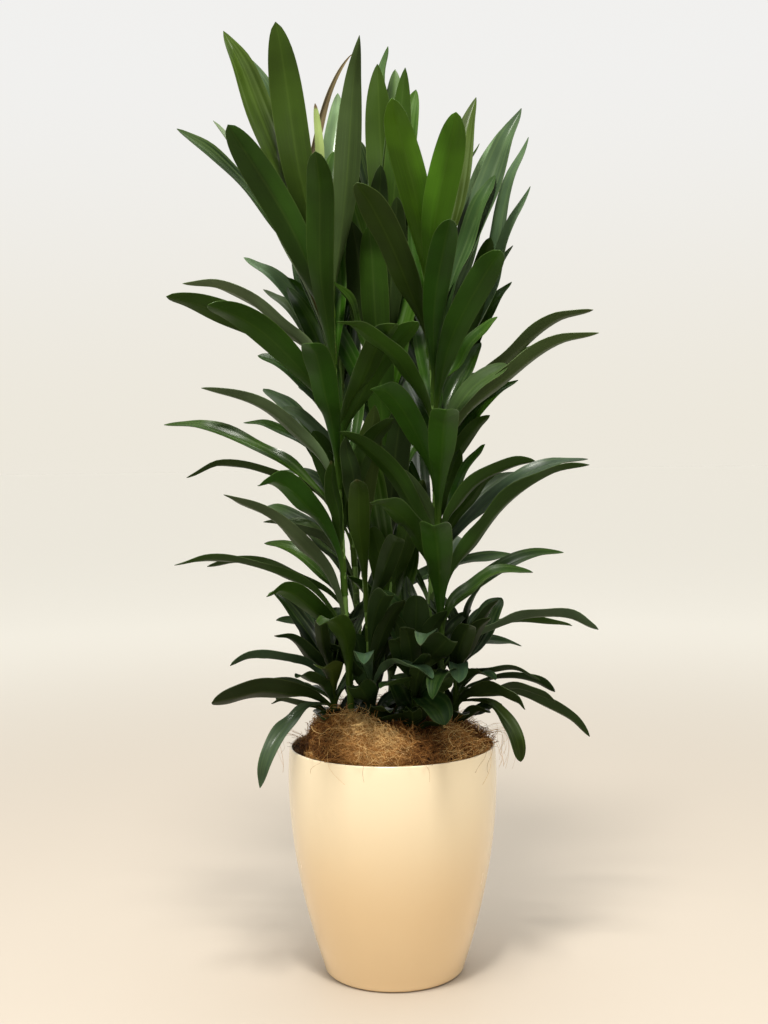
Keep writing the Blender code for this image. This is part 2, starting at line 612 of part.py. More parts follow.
def still_shapes(solids):
    """Canes and the pot's pieces, as what leaves keep clear of."""
    found = []
    for name, mesh in solids:
        points = [v.co.copy() for v in mesh.vertices]
        faces = [tuple(p.vertices) for p in mesh.polygons]
        found.append(Placed(name, box_of(points), BVHTree.FromPolygons(points, faces), None))
    return found


def largest_body(mesh):
    """Keep the outer skin of the one main body: sealed hollows and loose scraps are dropped."""
    work = bmesh.new()
    work.from_mesh(mesh)
    left = set(work.faces)
    groups = []
    while left:
        seed = left.pop()
        group = [seed]
        queue = [seed]
        while queue:
            for edge in queue.pop().edges:
                for near in edge.link_faces:
                    if near in left:
                        left.remove(near)
                        group.append(near)
                        queue.append(near)
        groups.append(group)
    groups.sort(key=len, reverse=True)
    scraps = [face for group in groups[1:] for face in group]
    bmesh.ops.delete(work, geom=scraps, context="FACES")
    bmesh.ops.triangulate(work, faces=work.faces)
    work.to_mesh(mesh)
    work.free()


def join_leaves(cane, shapes):
    """Fuse a stem's leaves to its cane with one union, then clear the loose leaves away."""
    leaves = bpy.data.collections.new(cane.name + "_leaves")
    bpy.context.scene.collection.children.link(leaves)
    for index, (points, faces) in enumerate(shapes):
        mesh = bpy.data.meshes.new("leaf")
        mesh.from_pydata([tuple(p) for p in points], [], faces)
        mend(mesh)
        add_object(f"{cane.name}_leaf_{index}", mesh, leaves)
    union = cane.modifiers.new("Leaves", "BOOLEAN")
    union.operation = "UNION"
    union.operand_type = "COLLECTION"
    union.collection = leaves
    union.solver = "MANIFOLD"
    largest_body(settle(cane))
    for thing in list(leaves.objects):
        bpy.data.objects.remove(thing, do_unlink=True)
    bpy.data.collections.remove(leaves)


def cut_holes(thing, cutters):
    """Plain holes for the canes, a hair wider than they are."""
    cut = thing.modifiers.new("Cane holes", "BOOLEAN")
    cut.operation = "DIFFERENCE"
    cut.operand_type = "COLLECTION"
    cut.collection = cutters
    cut.solver = "EXACT"
    largest_body(settle(thing))


def add_cutters(home):
    """A rod for each cane, a hair thicker than it is."""
    for stem in STEMS:
        mesh = cane_mesh(stem, (stem.radius + GAP) * 1.16, CANE_FOOT - GAP, HOLE_TOP)
        cutter = add_object(stem.name + "_hole", mesh, home)
        cutter.hide_render = True
        cutter.display_type = "WIRE"


def build():
    empty_scene()
    plant = collection("potted_dracaena")
    cutters = collection("cutters")
    add_cutters(cutters)
    pot = build_pot(plant)
    soil = build_soil(plant)
    coir = build_coir(plant)
    cut_holes(soil, cutters)
    cut_holes(coir, cutters)
    canes = {stem.name: cane_mesh(stem, stem.radius, CANE_FOOT, stem.top_z) for stem in STEMS}
    laid = lay_leaves(still_shapes([*canes.items(), ("pot", pot.data), ("coir", coir.data)]))
    tall = material("dracaena_green", (0.035, 0.115, 0.022), 0.32)
    low = material("dracaena_low_green", (0.030, 0.085, 0.030), 0.35)
    for stem in STEMS:
        finish = low if stem.radius == SHOOT_RADIUS else tall
        cane = add_object(stem.name, canes[stem.name], plant, finish)
        join_leaves(cane, laid[stem.name])
    for thing in plant.objects:
        thing.data.shade_smooth()
        thing.data.set_sharp_from_angle(angle=math.radians(40))


build()
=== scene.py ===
import json
import math
from collections import namedtuple

import bpy
import numpy as np
from mathutils import Matrix, Vector
from mathutils.bvhtree import BVHTree
from mathutils.kdtree import KDTree

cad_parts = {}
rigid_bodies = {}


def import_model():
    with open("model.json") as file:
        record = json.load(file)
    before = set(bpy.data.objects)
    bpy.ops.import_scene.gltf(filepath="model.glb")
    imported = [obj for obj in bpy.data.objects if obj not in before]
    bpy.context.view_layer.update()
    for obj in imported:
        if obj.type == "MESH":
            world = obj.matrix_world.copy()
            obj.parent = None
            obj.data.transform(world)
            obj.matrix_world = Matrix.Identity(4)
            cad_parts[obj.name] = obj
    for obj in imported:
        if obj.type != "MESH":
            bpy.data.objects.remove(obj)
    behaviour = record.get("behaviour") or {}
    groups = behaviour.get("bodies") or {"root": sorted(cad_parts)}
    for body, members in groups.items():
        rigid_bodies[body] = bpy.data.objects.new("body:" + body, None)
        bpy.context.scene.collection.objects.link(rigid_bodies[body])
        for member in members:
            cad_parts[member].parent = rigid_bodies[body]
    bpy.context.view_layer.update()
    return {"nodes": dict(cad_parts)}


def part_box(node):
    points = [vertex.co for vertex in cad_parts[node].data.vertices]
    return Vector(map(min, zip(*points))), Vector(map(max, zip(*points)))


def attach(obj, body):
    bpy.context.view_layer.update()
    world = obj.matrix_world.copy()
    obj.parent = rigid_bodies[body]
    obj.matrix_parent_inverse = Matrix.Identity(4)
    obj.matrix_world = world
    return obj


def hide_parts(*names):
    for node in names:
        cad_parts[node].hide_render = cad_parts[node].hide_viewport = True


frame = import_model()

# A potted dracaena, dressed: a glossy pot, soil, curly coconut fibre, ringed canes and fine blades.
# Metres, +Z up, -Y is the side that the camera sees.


# Pot: a thin glossy cream-white shell of moulded plastic, turned on one axis, with a rounded lip and
# foot. It stands on its flat floor and carries everything else. Handling has left it a few faint
# scuffs, and its gloss is a little uneven.

POT_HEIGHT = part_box("pot")[1].z
POT_WIDEST = 0.1795          # outer radius, a little under the lip
WIDEST_AT = 0.335
POT_FOOT = 0.118
POT_WALL = 0.0045
FOOT_ROUND = 0.008
FLOOR_RADIUS = 0.110
FLOOR_ROUND = 0.004          # how far the inner corner is cut off at the floor
LIP_ROUND = POT_WALL / 2
POT_STEPS = 144
POT_CREAM = (0.900, 0.765, 0.530, 1.0)
# painted shade: the pot is given this darker, warmer colour towards its foot, where less light falls
POT_PAINTED_SHADE = (0.835, 0.615, 0.350, 1.0)
SCUFF_GREY = (0.42, 0.36, 0.28, 1.0)


class Value:
    """A socket in a node tree: arithmetic on it adds Math nodes there."""

    def __init__(self, nodes, socket):
        self.nodes = nodes
        self.socket = socket

    def beside(self, output):
        """Another output of the same node."""
        return Value(self.nodes, self.socket.node.outputs[output])

    def __add__(self, other):
        return self.nodes.maths("ADD", self, other)

    def __sub__(self, other):
        return self.nodes.maths("SUBTRACT", self, other)

    def __rsub__(self, other):
        return self.nodes.maths("SUBTRACT", other, self)

    def __mul__(self, other):
        return self.nodes.maths("MULTIPLY", self, other)

    def __truediv__(self, other):
        return self.nodes.maths("DIVIDE", self, other)

    def __rtruediv__(self, other):
        return self.nodes.maths("DIVIDE", other, self)

    def __pow__(self, other):
        return self.nodes.maths("POWER", self, other)

    def __abs__(self):
        return self.nodes.maths("ABSOLUTE", self)

    __radd__ = __add__
    __rmul__ = __mul__


class Nodes:
    """A node tree that is built one node at a time."""

    def __init__(self, tree):
        self.tree = tree

    def node(self, kind, sockets=None, output=0, **settings):
        """Add a node: its settings or stops first, then the values or links of its sockets."""
        made = self.tree.nodes.new(kind)
        for key, value in settings.items():
            if key == "stops":
                self.set_stops(made.color_ramp.elements, value)
            else:
                setattr(made, key, value)
        for key, value in (sockets or {}).items():
            self.feed(made.inputs[key], value)
        return Value(self, made.outputs[output])

    def set_stops(self, elements, stops):
        for _ in stops[2:]:
            elements.new(0.5)
        for element, (place, colour) in zip(elements, stops):
            element.position = place
            element.color = colour

    def feed(self, socket, value):
        if isinstance(value, Value):
            self.tree.links.new(value.socket, socket)
        else:
            socket.default_value = value

    def maths(self, operation, first, second=0.0):
        return self.node("ShaderNodeMath", {0: first, 1: second}, operation=operation)

    def vector(self, operation, first, second, output=0):
        return self.node("ShaderNodeVectorMath", {0: first, 1: second}, output, operation=operation)

    def parts(self, vector):
        """The X, Y and Z of a vector."""
        x = self.node("ShaderNodeSeparateXYZ", {0: vector})
        return x, x.beside("Y"), x.beside("Z")

    def noise(self, place, scale, detail=3.0, output="Fac"):
        return self.node("ShaderNodeTexNoise", {"Vector": place, "Scale": scale, "Detail": detail}, output)

    def between(self, value, low, high, first=0.0, last=1.0):
        """The first number where value is under low, the last over high, and smooth between."""
        sockets = {0: value, 1: low, 2: high, 3: first, 4: last}
        return self.node("ShaderNodeMapRange", sockets, interpolation_type="SMOOTHSTEP")

    def mix(self, share, first, second, blend="MIX"):
        sockets = {0: share, 6: first, 7: second}
        return self.node("ShaderNodeMix", sockets, 2, data_type="RGBA", blend_type=blend)

    def coordinates(self, kind="Object"):
        return self.node("ShaderNodeTexCoord", output=kind)


class Finish(Nodes):
    """A material with one Principled shader, whose fixed values are set straight on its sockets."""

    def __init__(self, name, **fixed):
        self.material = bpy.data.materials.new(name)
        self.material.use_nodes = True
        super().__init__(self.material.node_tree)
        self.drive(**fixed)

    def drive(self, **sockets):
        """Set the shader's sockets, or link what varies over the surface to them."""
        for name, value in sockets.items():
            self.feed(self.tree.nodes["Principled BSDF"].inputs[name.replace("_", " ")], value)

    def stretched(self, place, scale):
        return self.node("ShaderNodeMapping", {"Vector": place, "Scale": scale})

    def attribute(self, name, output="Fac"):
        return self.node("ShaderNodeAttribute", output=output, attribute_name=name)

    def bump(self, height, distance):
        return self.node("ShaderNodeBump", {"Height": height, "Distance": distance, "Strength": 1.0})


def pot_radius(height):
    """The pot's outer side: widest a little under the lip, easing in to the foot."""
    if height >= WIDEST_AT:
        above = (height - WIDEST_AT) / (POT_HEIGHT - WIDEST_AT)
        return POT_WIDEST - 0.0025 * above ** 2
    below = (WIDEST_AT - height) / WIDEST_AT
    return POT_WIDEST - (POT_WIDEST - POT_FOOT) * below ** 1.9


def arc(centre, radius, start, end, steps):
    """Points of a round corner in the outline, from one angle to another in degrees."""
    turns = np.radians(np.linspace(start, end, steps))
    return [(centre[0] + radius * math.cos(t), centre[1] + radius * math.sin(t)) for t in turns]


def pot_outline():
    """Half of the pot's section, from the lip down its outer side and up its inner one."""
    lip = (pot_radius(POT_HEIGHT) - LIP_ROUND, POT_HEIGHT - LIP_ROUND)
    foot = (pot_radius(FOOT_ROUND) - FOOT_ROUND, FOOT_ROUND)
    sides = np.linspace(POT_HEIGHT - LIP_ROUND - 0.01, FOOT_ROUND + 0.012, 30)
    outline = arc(lip, LIP_ROUND, 90, 0, 5)
    outline += [(pot_radius(z), z) for z in sides]
    outline += arc(foot, FOOT_ROUND, 0, -90, 7)
    outline += [(0.0, 0.0), (0.0, POT_WALL), (FLOOR_RADIUS - FLOOR_ROUND, POT_WALL)]
    outline += [(FLOOR_RADIUS + FLOOR_ROUND, POT_WALL + 0.006)]
    outline += [(pot_radius(z) - POT_WALL, z) for z in sides[::-1] if z > 0.04]
    return outline + arc(lip, LIP_ROUND, 180, 100, 4)


def placed(name, data):
    """A new object in the scene."""
    made = bpy.data.objects.new(name, data)
    bpy.context.scene.collection.objects.link(made)
    return made


def turned(name, outline, steps):
    """An outline of (radius, height) points turned once about the upright axis, as a plain mesh."""
    mesh = bpy.data.meshes.new(name)
    points = [(radius, 0.0, height) for radius, height in outline]
    edges = [(i, (i + 1) % len(points)) for i in range(len(points))]
    mesh.from_pydata(points, edges, [])
    piece = placed(name, mesh)
    screw = piece.modifiers.new("Turn", "SCREW")
    screw.steps = steps
    screw.render_steps = steps
    screw.use_merge_vertices = True
    screw.merge_threshold = 0.00001
    piece.modifiers.new("Weld", "WELD").merge_threshold = 0.00001
    return plain(piece)


def plain(piece):
    """Take the object's evaluated shape as its own mesh, and drop its modifiers."""
    graph = bpy.context.evaluated_depsgraph_get()
    piece.data = bpy.data.meshes.new_from_object(piece.evaluated_get(graph))
    piece.modifiers.clear()
    piece.data.name = piece.name
    return piece


def soften(piece, angle):
    piece.data.shade_smooth()
    piece.data.set_sharp_from_angle(angle=math.radians(angle))


def glossy_cream():
    finish = Finish("glossy_cream_white", Coat_Roughness=0.08, Coat_IOR=1.5)
    place = finish.coordinates()
    cloudy = finish.noise(place, 5.0)
    height = finish.parts(place)[2]
    # painted light and shade: the colour runs from the cream near the lip, where most light falls, to the
    # darker, warmer colour towards the foot
    high = finish.between(height + 0.05 * (cloudy - 0.5), 0.12, 0.36)
    colour = finish.mix(high, POT_PAINTED_SHADE, POT_CREAM)
    long_marks = finish.noise(finish.stretched(place, (60.0, 60.0, 9.0)), 1.0, 5.0)
    few = finish.between(finish.noise(place, 11.0, 1.0), 0.58, 0.70)
    scuffs = finish.between(long_marks, 0.66, 0.74) * few
    grain = finish.noise(place, 900.0, 2.0)
    finish.drive(
        Base_Color=finish.mix(scuffs * 0.35, colour, SCUFF_GREY),
        Roughness=0.20 + 0.10 * cloudy + 0.25 * scuffs,
        Coat_Weight=0.55 - 0.3 * scuffs,
        Normal=finish.bump(grain + 3.0 * scuffs, 0.00002),
    )
    return finish.material


pot = turned("pot_shell", pot_outline(), POT_STEPS)
pot.data.materials.append(glossy_cream())
soften(pot, 35)
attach(pot, "root")
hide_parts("pot")


# Soil: dark moist potting mix, filled in around the roots to a little under the lip. The fibre hides
# nearly all of it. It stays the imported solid, with a crumbly finish of its own.

SOIL_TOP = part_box("soil")[1].z
SOIL_DARK = (0.016, 0.010, 0.006, 1.0)
SOIL_LIGHT = (0.070, 0.043, 0.024, 1.0)


def crumbly_soil():
    finish = Finish("crumbly_soil")
    place = finish.coordinates()
    crumbs = finish.noise(place, 140.0, 6.0)
    clods = finish.noise(place, 35.0, 3.0)
    finish.drive(
        Base_Color=finish.mix(finish.between(crumbs, 0.35, 0.70), SOIL_DARK, SOIL_LIGHT),
        Roughness=0.88 + 0.1 * clods,
        Normal=finish.bump(crumbs + clods, 0.004),
    )
    return finish.material


soil = frame["nodes"]["soil"]
soil.data.materials.clear()
soil.data.materials.append(crumbly_soil())


# Coconut fibre: a loose springy mat of golden-brown husk fibre, pulled apart by hand and pressed in
# over the soil around the canes. The mat is a lumpy heap with steep sides; its fibres curl over it
# and over each other, and a few hang out over the pot's lip.

COIR_TOP = 0.413
COIR_REACH = 0.172
COIR_LUMPS = 34
COIR_RINGS = 46
COIR_STEPS = 150
COIR_LIFT = 0.0003           # how far the mat's underside lies above the soil
MAT_GAP = 0.014              # how far the heap stands in from the pot's wall on the left
# x, y, how high and how far across
WADS = (
    (-0.095, -0.080, 0.016, 0.036),
    (-0.030, -0.140, 0.016, 0.034),
    (-0.055, -0.075, 0.010, 0.030),
    (0.037, -0.115, -0.014, 0.024),
    (-0.080, -0.125, -0.008, 0.018),
    (0.110, -0.105, 0.014, 0.034),
    (0.078, -0.140, -0.008, 0.018),
    (0.140, -0.030, 0.006, 0.030),
    (-0.140, -0.020, 0.008, 0.030),
    (0.060, 0.110, 0.008, 0.035),
    (-0.070, 0.115, 0.009, 0.035),
)
# x, y and how far across: tufts of paler fibre on the heap
PALE_TUFTS = ((-0.028, -0.135, 0.078), (-0.058, -0.075, 0.050), (0.020, 0.120, 0.050))
MAT_DARK = (0.030, 0.013, 0.005, 1.0)
MAT_LIGHT = (0.220, 0.105, 0.034, 1.0)
MAT_GOLDEN = (0.420, 0.210, 0.066, 1.0)


def coir_lumps():
    """Rounded lumps and dents at random: x, y, how high and how far across."""
    draw = np.random.default_rng(12)
    turn = draw.uniform(0, math.tau, COIR_LUMPS)
    out = 0.155 * np.sqrt(draw.uniform(0, 1, COIR_LUMPS))
    high = draw.uniform(-0.009, 0.013, COIR_LUMPS)
    across = draw.uniform(0.018, 0.034, COIR_LUMPS)
    return np.column_stack([out * np.cos(turn), out * np.sin(turn), high, across])


def tufts(x, y):
    """What the solid leaves out: the wads that the front view shows, and bundles of fibre on them."""
    wads = sum(high * math.exp(-((x - u) ** 2 + (y - v) ** 2) / wide ** 2) for u, v, high, wide in WADS)
    wave = math.sin(95 * x + 3 * math.sin(60 * y)) * math.sin(88 * y + 2 * math.sin(71 * x + 1))
    fine = math.sin(230 * x + 190 * y) * math.sin(210 * y - 170 * x)
    return wads + 0.0034 * wave + 0.0012 * fine


def coir_height(x, y, lumps):
    """The heap's top: flat with steep sides, a little higher on the left, and lumpy."""
    out = math.hypot(x, y) / COIR_REACH
    far = (lumps[:, 0] - x) ** 2 + (lumps[:, 1] - y) ** 2
    relief = float((lumps[:, 2] * np.exp(-far / lumps[:, 3] ** 2)).sum())
    return COIR_TOP - 0.07 * x - 0.042 * out ** 16 + relief + tufts(x, y)


def smooth(value, low, high):
    """0 where value is under low, 1 over high, and smooth between."""
    share = np.clip((value - low) / (high - low), 0, 1)
    return share * share * (3 - 2 * share)


def fibrous_mat():
    finish = Finish("coconut_fibre_mat", Specular_IOR_Level=0.2)
    place = finish.coordinates()
    bent = finish.noise(place, 30.0, 2.0, "Color")
    wander = finish.mix(0.035, place, bent, "ADD")
    strands = finish.noise(finish.stretched(wander, (70.0, 420.0, 300.0)), 1.0, 6.0)
    crossing = finish.noise(finish.stretched(wander, (420.0, 70.0, 300.0)), 1.0, 6.0)
    patches = finish.between(finish.noise(place, 22.0, 3.0), 0.35, 0.65)
    weave = strands * 0.5 + crossing * 0.5
    light = finish.between(weave, 0.40, 0.62) * (0.25 + 0.75 * patches)
    colour = finish.mix(light, MAT_DARK, MAT_LIGHT)
    for x, y, across in PALE_TUFTS:
        away = finish.vector("DISTANCE", place, (x, y, COIR_TOP), "Value")
        golden = 0.85 * finish.between(away, across, 0.4 * across)
        colour = finish.mix(golden, colour, MAT_GOLDEN)
    finish.drive(
        Base_Color=colour,
        Roughness=0.95 - 0.1 * light,
        Normal=finish.bump(weave, 0.006),
    )
    return finish.material


def coir_outline():
    floor = SOIL_TOP + COIR_LIFT
    top = [(radius, COIR_TOP) for radius in np.linspace(0, 0.166, COIR_RINGS)]
    return top + [(0.1705, 0.378), (COIR_REACH - 0.0006, 0.364), (0.1690, floor), (0.0, floor)]


coir = turned("coir_mat", coir_outline(), COIR_STEPS)
# on the left the heap stands off the wall, so that a dark crescent of the pot's inside shows
lumps = coir_lumps()
for point in coir.data.vertices:
    if point.co.z > COIR_TOP - 0.001:
        gap = MAT_GAP * smooth(-point.co.x, 0.085, COIR_REACH)
        edge = (math.hypot(point.co.x, point.co.y) / COIR_REACH) ** 7
        point.co.z = coir_height(point.co.x, point.co.y, lumps) - gap * (0.9 + 1.2 * edge)
        point.co.x += gap
coir.data.materials.append(fibrous_mat())
soften(coir, 50)
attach(coir, "root")
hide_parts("coir")


# Loose fibres: single curly strands of the same husk, well under a millimetre thick and mostly
# shorter than a hand, lying in combed tufts. They are what shows of the mat from near by. Nothing
# holds them but each other and the pot's wall.

MOST_OUT = 0.1722            # below the lip no strand goes farther out than this
TUFT_PALENESS = 0.56
FIBRE_STOPS = [
    (0.0, (0.085, 0.034, 0.009, 1.0)),
    (0.35, (0.280, 0.116, 0.029, 1.0)),
    (0.70, (0.620, 0.315, 0.090, 1.0)),
    (1.0, (0.940, 0.660, 0.280, 1.0)),
]
# what a strand is like: points along it, sweep in radians, and its other sizes in metres
STRAND = {"Points": 10, "Sweep": 1.9, "Length": 0.066, "Radius": 0.00030, "Curl": 0.013, "Lift": 0.006}
LONG_STRAND = STRAND | {"Points": 26, "Sweep": 3.8, "Length": 0.125, "Radius": 0.00040, "Lift": 0.012}


def husk_fibre():
    finish = Finish("coconut_fibre_strand", Specular_IOR_Level=0.15)
    colour = finish.node("ShaderNodeValToRGB", {"Fac": finish.attribute("strand")}, stops=FIBRE_STOPS)
    shade = finish.noise(finish.coordinates(), 120.0, 2.0)
    finish.drive(
        Base_Color=finish.mix(0.40 * shade, colour, FIBRE_STOPS[0][1]),
        Roughness=0.62 + 0.2 * shade,
    )
    return finish.material


class Strewing(Nodes):
    """A node tree that strews curly strands over a surface."""

    INPUTS = {"Surface": "Geometry", "Density": "Float", "Points": "Int", "Sweep": "Float", "Length": "Float",
              "Radius": "Float", "Curl": "Float", "Lift": "Float", "Seed": "Int"}

    def __init__(self, name, material):
        super().__init__(bpy.data.node_groups.new(name, "GeometryNodeTree"))
        face = self.tree.interface
        self.ids = {}
        for title, kind in self.INPUTS.items():
            made = face.new_socket(title, in_out="INPUT", socket_type="NodeSocket" + kind)
            self.ids[title] = made.identifier
        face.new_socket("Strands", in_out="OUTPUT", socket_type="NodeSocketGeometry")
        given = self.tree.nodes.new("NodeGroupInput").outputs
        self.sizes = {title: Value(self, given[title]) for title in self.INPUTS}
        dressed = self.node("GeometryNodeSetMaterial", {"Geometry": self.strands(), "Material": material})
        self.feed(self.tree.nodes.new("NodeGroupOutput").inputs[0], dressed)

    def place(self):
        return self.node("GeometryNodeInputPosition")

    def xyz(self, **parts):
        return self.node("ShaderNodeCombineXYZ", parts)

    def random(self, low, high, own):
        """A number by chance for each strand: own tells one draw from another."""
        sockets = {2: low, 3: high, "Seed": self.sizes["Seed"] + own}
        return self.node("FunctionNodeRandomValue", sockets, 1, data_type="FLOAT")

    def named(self, lines, name, value):
        """Each strand keeps a number under a name."""
        sockets = {"Geometry": lines, "Name": name, "Value": value}
        return self.node("GeometryNodeStoreNamedAttribute", sockets, data_type="FLOAT", domain="INSTANCE")

    def moved(self, lines, **how):
        return self.node("GeometryNodeSetPosition", {"Geometry": lines, **how})

    def combed(self, rotation):
        """A strand lies along its tuft's direction, which turns slowly over the surface."""
        way = self.noise(self.place(), 11.0, 1.0) * (3 * math.pi) + self.random(-1.1, 1.1, 2)
        along = self.xyz(X=self.maths("COSINE", way), Y=self.maths("SINE", way))
        sockets = {"Rotation": rotation, "Vector": along}
        laid = self.node("FunctionNodeAlignRotationToVector", sockets, axis="X", pivot_axis="Z")
        tilt = self.node("FunctionNodeEulerToRotation", {0: self.xyz(Y=self.random(-0.4, 0.4, 1))})
        return self.node("FunctionNodeRotateRotation", {0: laid, 1: tilt}, rotation_space="LOCAL")

    def one_strand(self):
        """An arc of unit length in the XY plane, its middle near the origin."""
        sweep = self.sizes["Sweep"]
        half = sweep * 0.5
        radius = 1.0 / sweep
        sockets = {"Resolution": self.sizes["Points"], "Radius": radius, "Sweep Angle": sweep}
        sockets["Start Angle"] = math.pi / 2 - half
        bent = self.node("GeometryNodeCurveArc", sockets, mode="RADIUS")
        back = self.xyz(Y=self.maths("SINE", half) / half * radius * -1.0)
        return self.node("GeometryNodeTransform", {"Geometry": bent, "Translation": back})

    def laid_lines(self):
        """Strands on the surface, each turned, tilted, sized and opened at random."""
        sockets = {"Mesh": self.sizes["Surface"]}
        sockets |= {title: self.sizes[title] for title in ("Density", "Seed")}
        points = self.node("GeometryNodeDistributePointsOnFaces", sockets)
        length = self.sizes["Length"] * self.random(0.4, 1.3, 3)
        scale = self.xyz(X=length, Y=length * self.random(-0.9, 0.9, 6), Z=length)
        sockets = {"Points": points, "Instance": self.one_strand(), "Scale": scale}
        sockets["Rotation"] = self.combed(points.beside("Rotation"))
        return self.node("GeometryNodeInstanceOnPoints", sockets)

    def shaded(self, lines):
        """Each strand is light or dark by its tuft, and a little by itself."""
        tuft = (self.noise(self.place(), 20.0, 1.0) - 0.5) * 2.6
        shade = tuft + 0.34 + self.random(-0.25, 0.25, 4)
        for x, y, across in PALE_TUFTS:
            away = self.vector("DISTANCE", self.place(), (x, y, COIR_TOP), "Value")
            shade = shade + self.between(away, 0.3 * across, across, TUFT_PALENESS, 0.0)
        return self.named(self.named(lines, "strand", shade), "own", self.random(0, 1, 5))

    def curled(self, lines):
        """The lines bent by a noise of their own, and lifted."""
        own = self.node("GeometryNodeInputNamedAttribute", {"Name": "own"}, data_type="FLOAT")
        sockets = {"Vector": self.place(), "W": own * 90.0, "Scale": 30.0, "Detail": 1.5}
        noise = self.node("ShaderNodeTexNoise", sockets, "Color", noise_dimensions="4D")
        bend = self.vector("SUBTRACT", noise, (0.5, 0.5, 0.5))
        bend = self.vector("MULTIPLY", bend, self.sizes["Curl"] * 4.0)
        lift = self.xyz(Z=own * self.sizes["Lift"])
        return self.moved(lines, Offset=self.vector("ADD", bend, lift))

    def kept_in(self, lines):
        """Below the lip the strands stay inside the pot's wall, and on the left they keep off it."""
        place = self.place()
        x, _, z = self.parts(place)
        out = self.vector("LENGTH", self.vector("MULTIPLY", place, (1.0, 1.0, 0.0)), (0, 0, 0), "Value")
        pull = self.maths("MINIMUM", MOST_OUT / out, 1.0)
        pulled = self.vector("MULTIPLY", place, self.xyz(X=pull, Y=pull, Z=1.0))
        lines = self.moved(lines, Selection=self.maths("LESS_THAN", z, POT_HEIGHT + 0.004), Position=pulled)
        return self.moved(lines, Offset=self.xyz(X=self.between(x, -0.130, -COIR_REACH, 0.0, MAT_GAP)))

    def strands(self):
        lines = self.node("GeometryNodeRealizeInstances", {0: self.shaded(self.laid_lines())})
        sockets = {"Resolution": 3, "Radius": self.sizes["Radius"]}
        ring = self.node("GeometryNodeCurvePrimitiveCircle", sockets)
        sockets = {"Curve": self.kept_in(self.curled(lines)), "Profile Curve": ring}
        tubes = self.node("GeometryNodeCurveToMesh", sockets)
        return self.node("GeometryNodeRealizeInstances", {0: tubes})


def mat_surface(low, high, side=0):
    """The mat's upper faces between two distances from the middle, for strands to lie on."""
    faces = []
    for face in coir.data.polygons:
        out = math.hypot(face.center.x, face.center.y)
        if face.normal.z > 0.05 and low < out < high and face.center.y * side >= 0:
            faces.append(tuple(face.vertices))
    mesh = bpy.data.meshes.new("mat_surface")
    mesh.from_pydata([tuple(v.co) for v in coir.data.vertices], [], faces)
    return mesh


strewing = Strewing("curly_strands", husk_fibre())


def strewn(name, surface, density, seed, sizes):
    """Strands over a surface mesh, as one plain mesh."""
    piece = placed(name, surface)
    strew = piece.modifiers.new("Strew", "NODES")
    strew.node_group = strewing.tree
    for title, value in {**sizes, "Density": density, "Seed": seed}.items():
        strew[strewing.ids[title]] = value
    plain(piece)
    piece.data.shade_smooth()
    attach(piece, "root")


strewn("coir_strands_inner", mat_surface(0.0, 0.100), 48000, 3, STRAND)
strewn("coir_strands_middle", mat_surface(0.100, 0.139), 66000, 4, STRAND)
strewn("coir_strands_front", mat_surface(0.139, COIR_REACH, -1), 62000, 5, STRAND)
strewn("coir_strands_back", mat_surface(0.139, COIR_REACH, 1), 46000, 6, STRAND)
strewn("coir_long_strands", mat_surface(0.0, 0.160), 4200, 7, LONG_STRAND)


# Stray hairs: a few thin fibres have worked loose and hang over the lip in wide curls, most of them
# on the right in front and some on the left.

# compass turns in degrees (0 is to the right), how many hairs
STRAY_PLACES = ((-42, 8, 18), (178, 205, 6), (-140, -60, 4), (30, 150, 6))
STRAY_POINTS = 22
CLEAR_OF_POT = 0.1825        # outside the lip a hair hangs at least this far out
STRAY_OUT = 0.150            # how far out and how high a hair leaves the heap
STRAY_UP = 0.398


def stray_path(draw, turn):
    """A hair from the heap's edge, over the lip and down outside, with a curl of its own."""
    t = np.linspace(0, 1, STRAY_POINTS)
    fall = draw.uniform(0.008, 0.055)
    reach = draw.uniform(0.004, 0.026)
    out = STRAY_OUT + (0.036 + reach) * np.sin(np.pi / 2 * np.clip(t * 1.7, 0, 1))
    out += 0.006 * np.sin(math.tau * (draw.uniform(0.6, 1.3) * t + draw.uniform())) * t
    height = STRAY_UP + 0.014 * np.sin(np.pi * np.clip(t * 1.5, 0, 1))
    height -= fall * np.clip(t - 0.45, 0, 1) ** 1.4 / 0.43
    around = math.radians(turn) + draw.uniform(-0.22, 0.22) * t ** 1.5
    around += 0.05 * np.sin(math.tau * (draw.uniform(0.5, 1.2) * t + draw.uniform())) * t
    hangs = (height < POT_HEIGHT + 0.003) & (t > 0.3)
    out = np.maximum(out, np.where(hangs, CLEAR_OF_POT, 0.0))
    return np.stack([out * np.cos(around), out * np.sin(around), height], axis=-1)


def unit(vectors):
    return vectors / np.linalg.norm(vectors, axis=-1, keepdims=True)


def tube_faces(rings, sides):
    """The faces of a closed tube of point rings, with one more at each end."""
    index = np.arange(rings * sides).reshape(rings, sides)
    ahead = np.roll(index, -1, axis=1)
    faces = np.stack([index[:-1], ahead[:-1], ahead[1:], index[1:]], axis=-1).reshape(-1, 4)
    return faces.tolist() + [index[0, ::-1].tolist(), index[-1].tolist()]


def hair_points(path, radius):
    """Rings of four points along a path."""
    tangents = unit(np.gradient(path, axis=0))
    aside = unit(np.cross(tangents, (0.31, 0.52, 0.80)))
    other = np.cross(tangents, aside)
    turn = np.linspace(0, math.tau, 4, endpoint=False)[None, :, None]
    rings = path[:, None] + radius * (aside[:, None] * np.cos(turn) + other[:, None] * np.sin(turn))
    return rings.reshape(-1, 3).tolist()


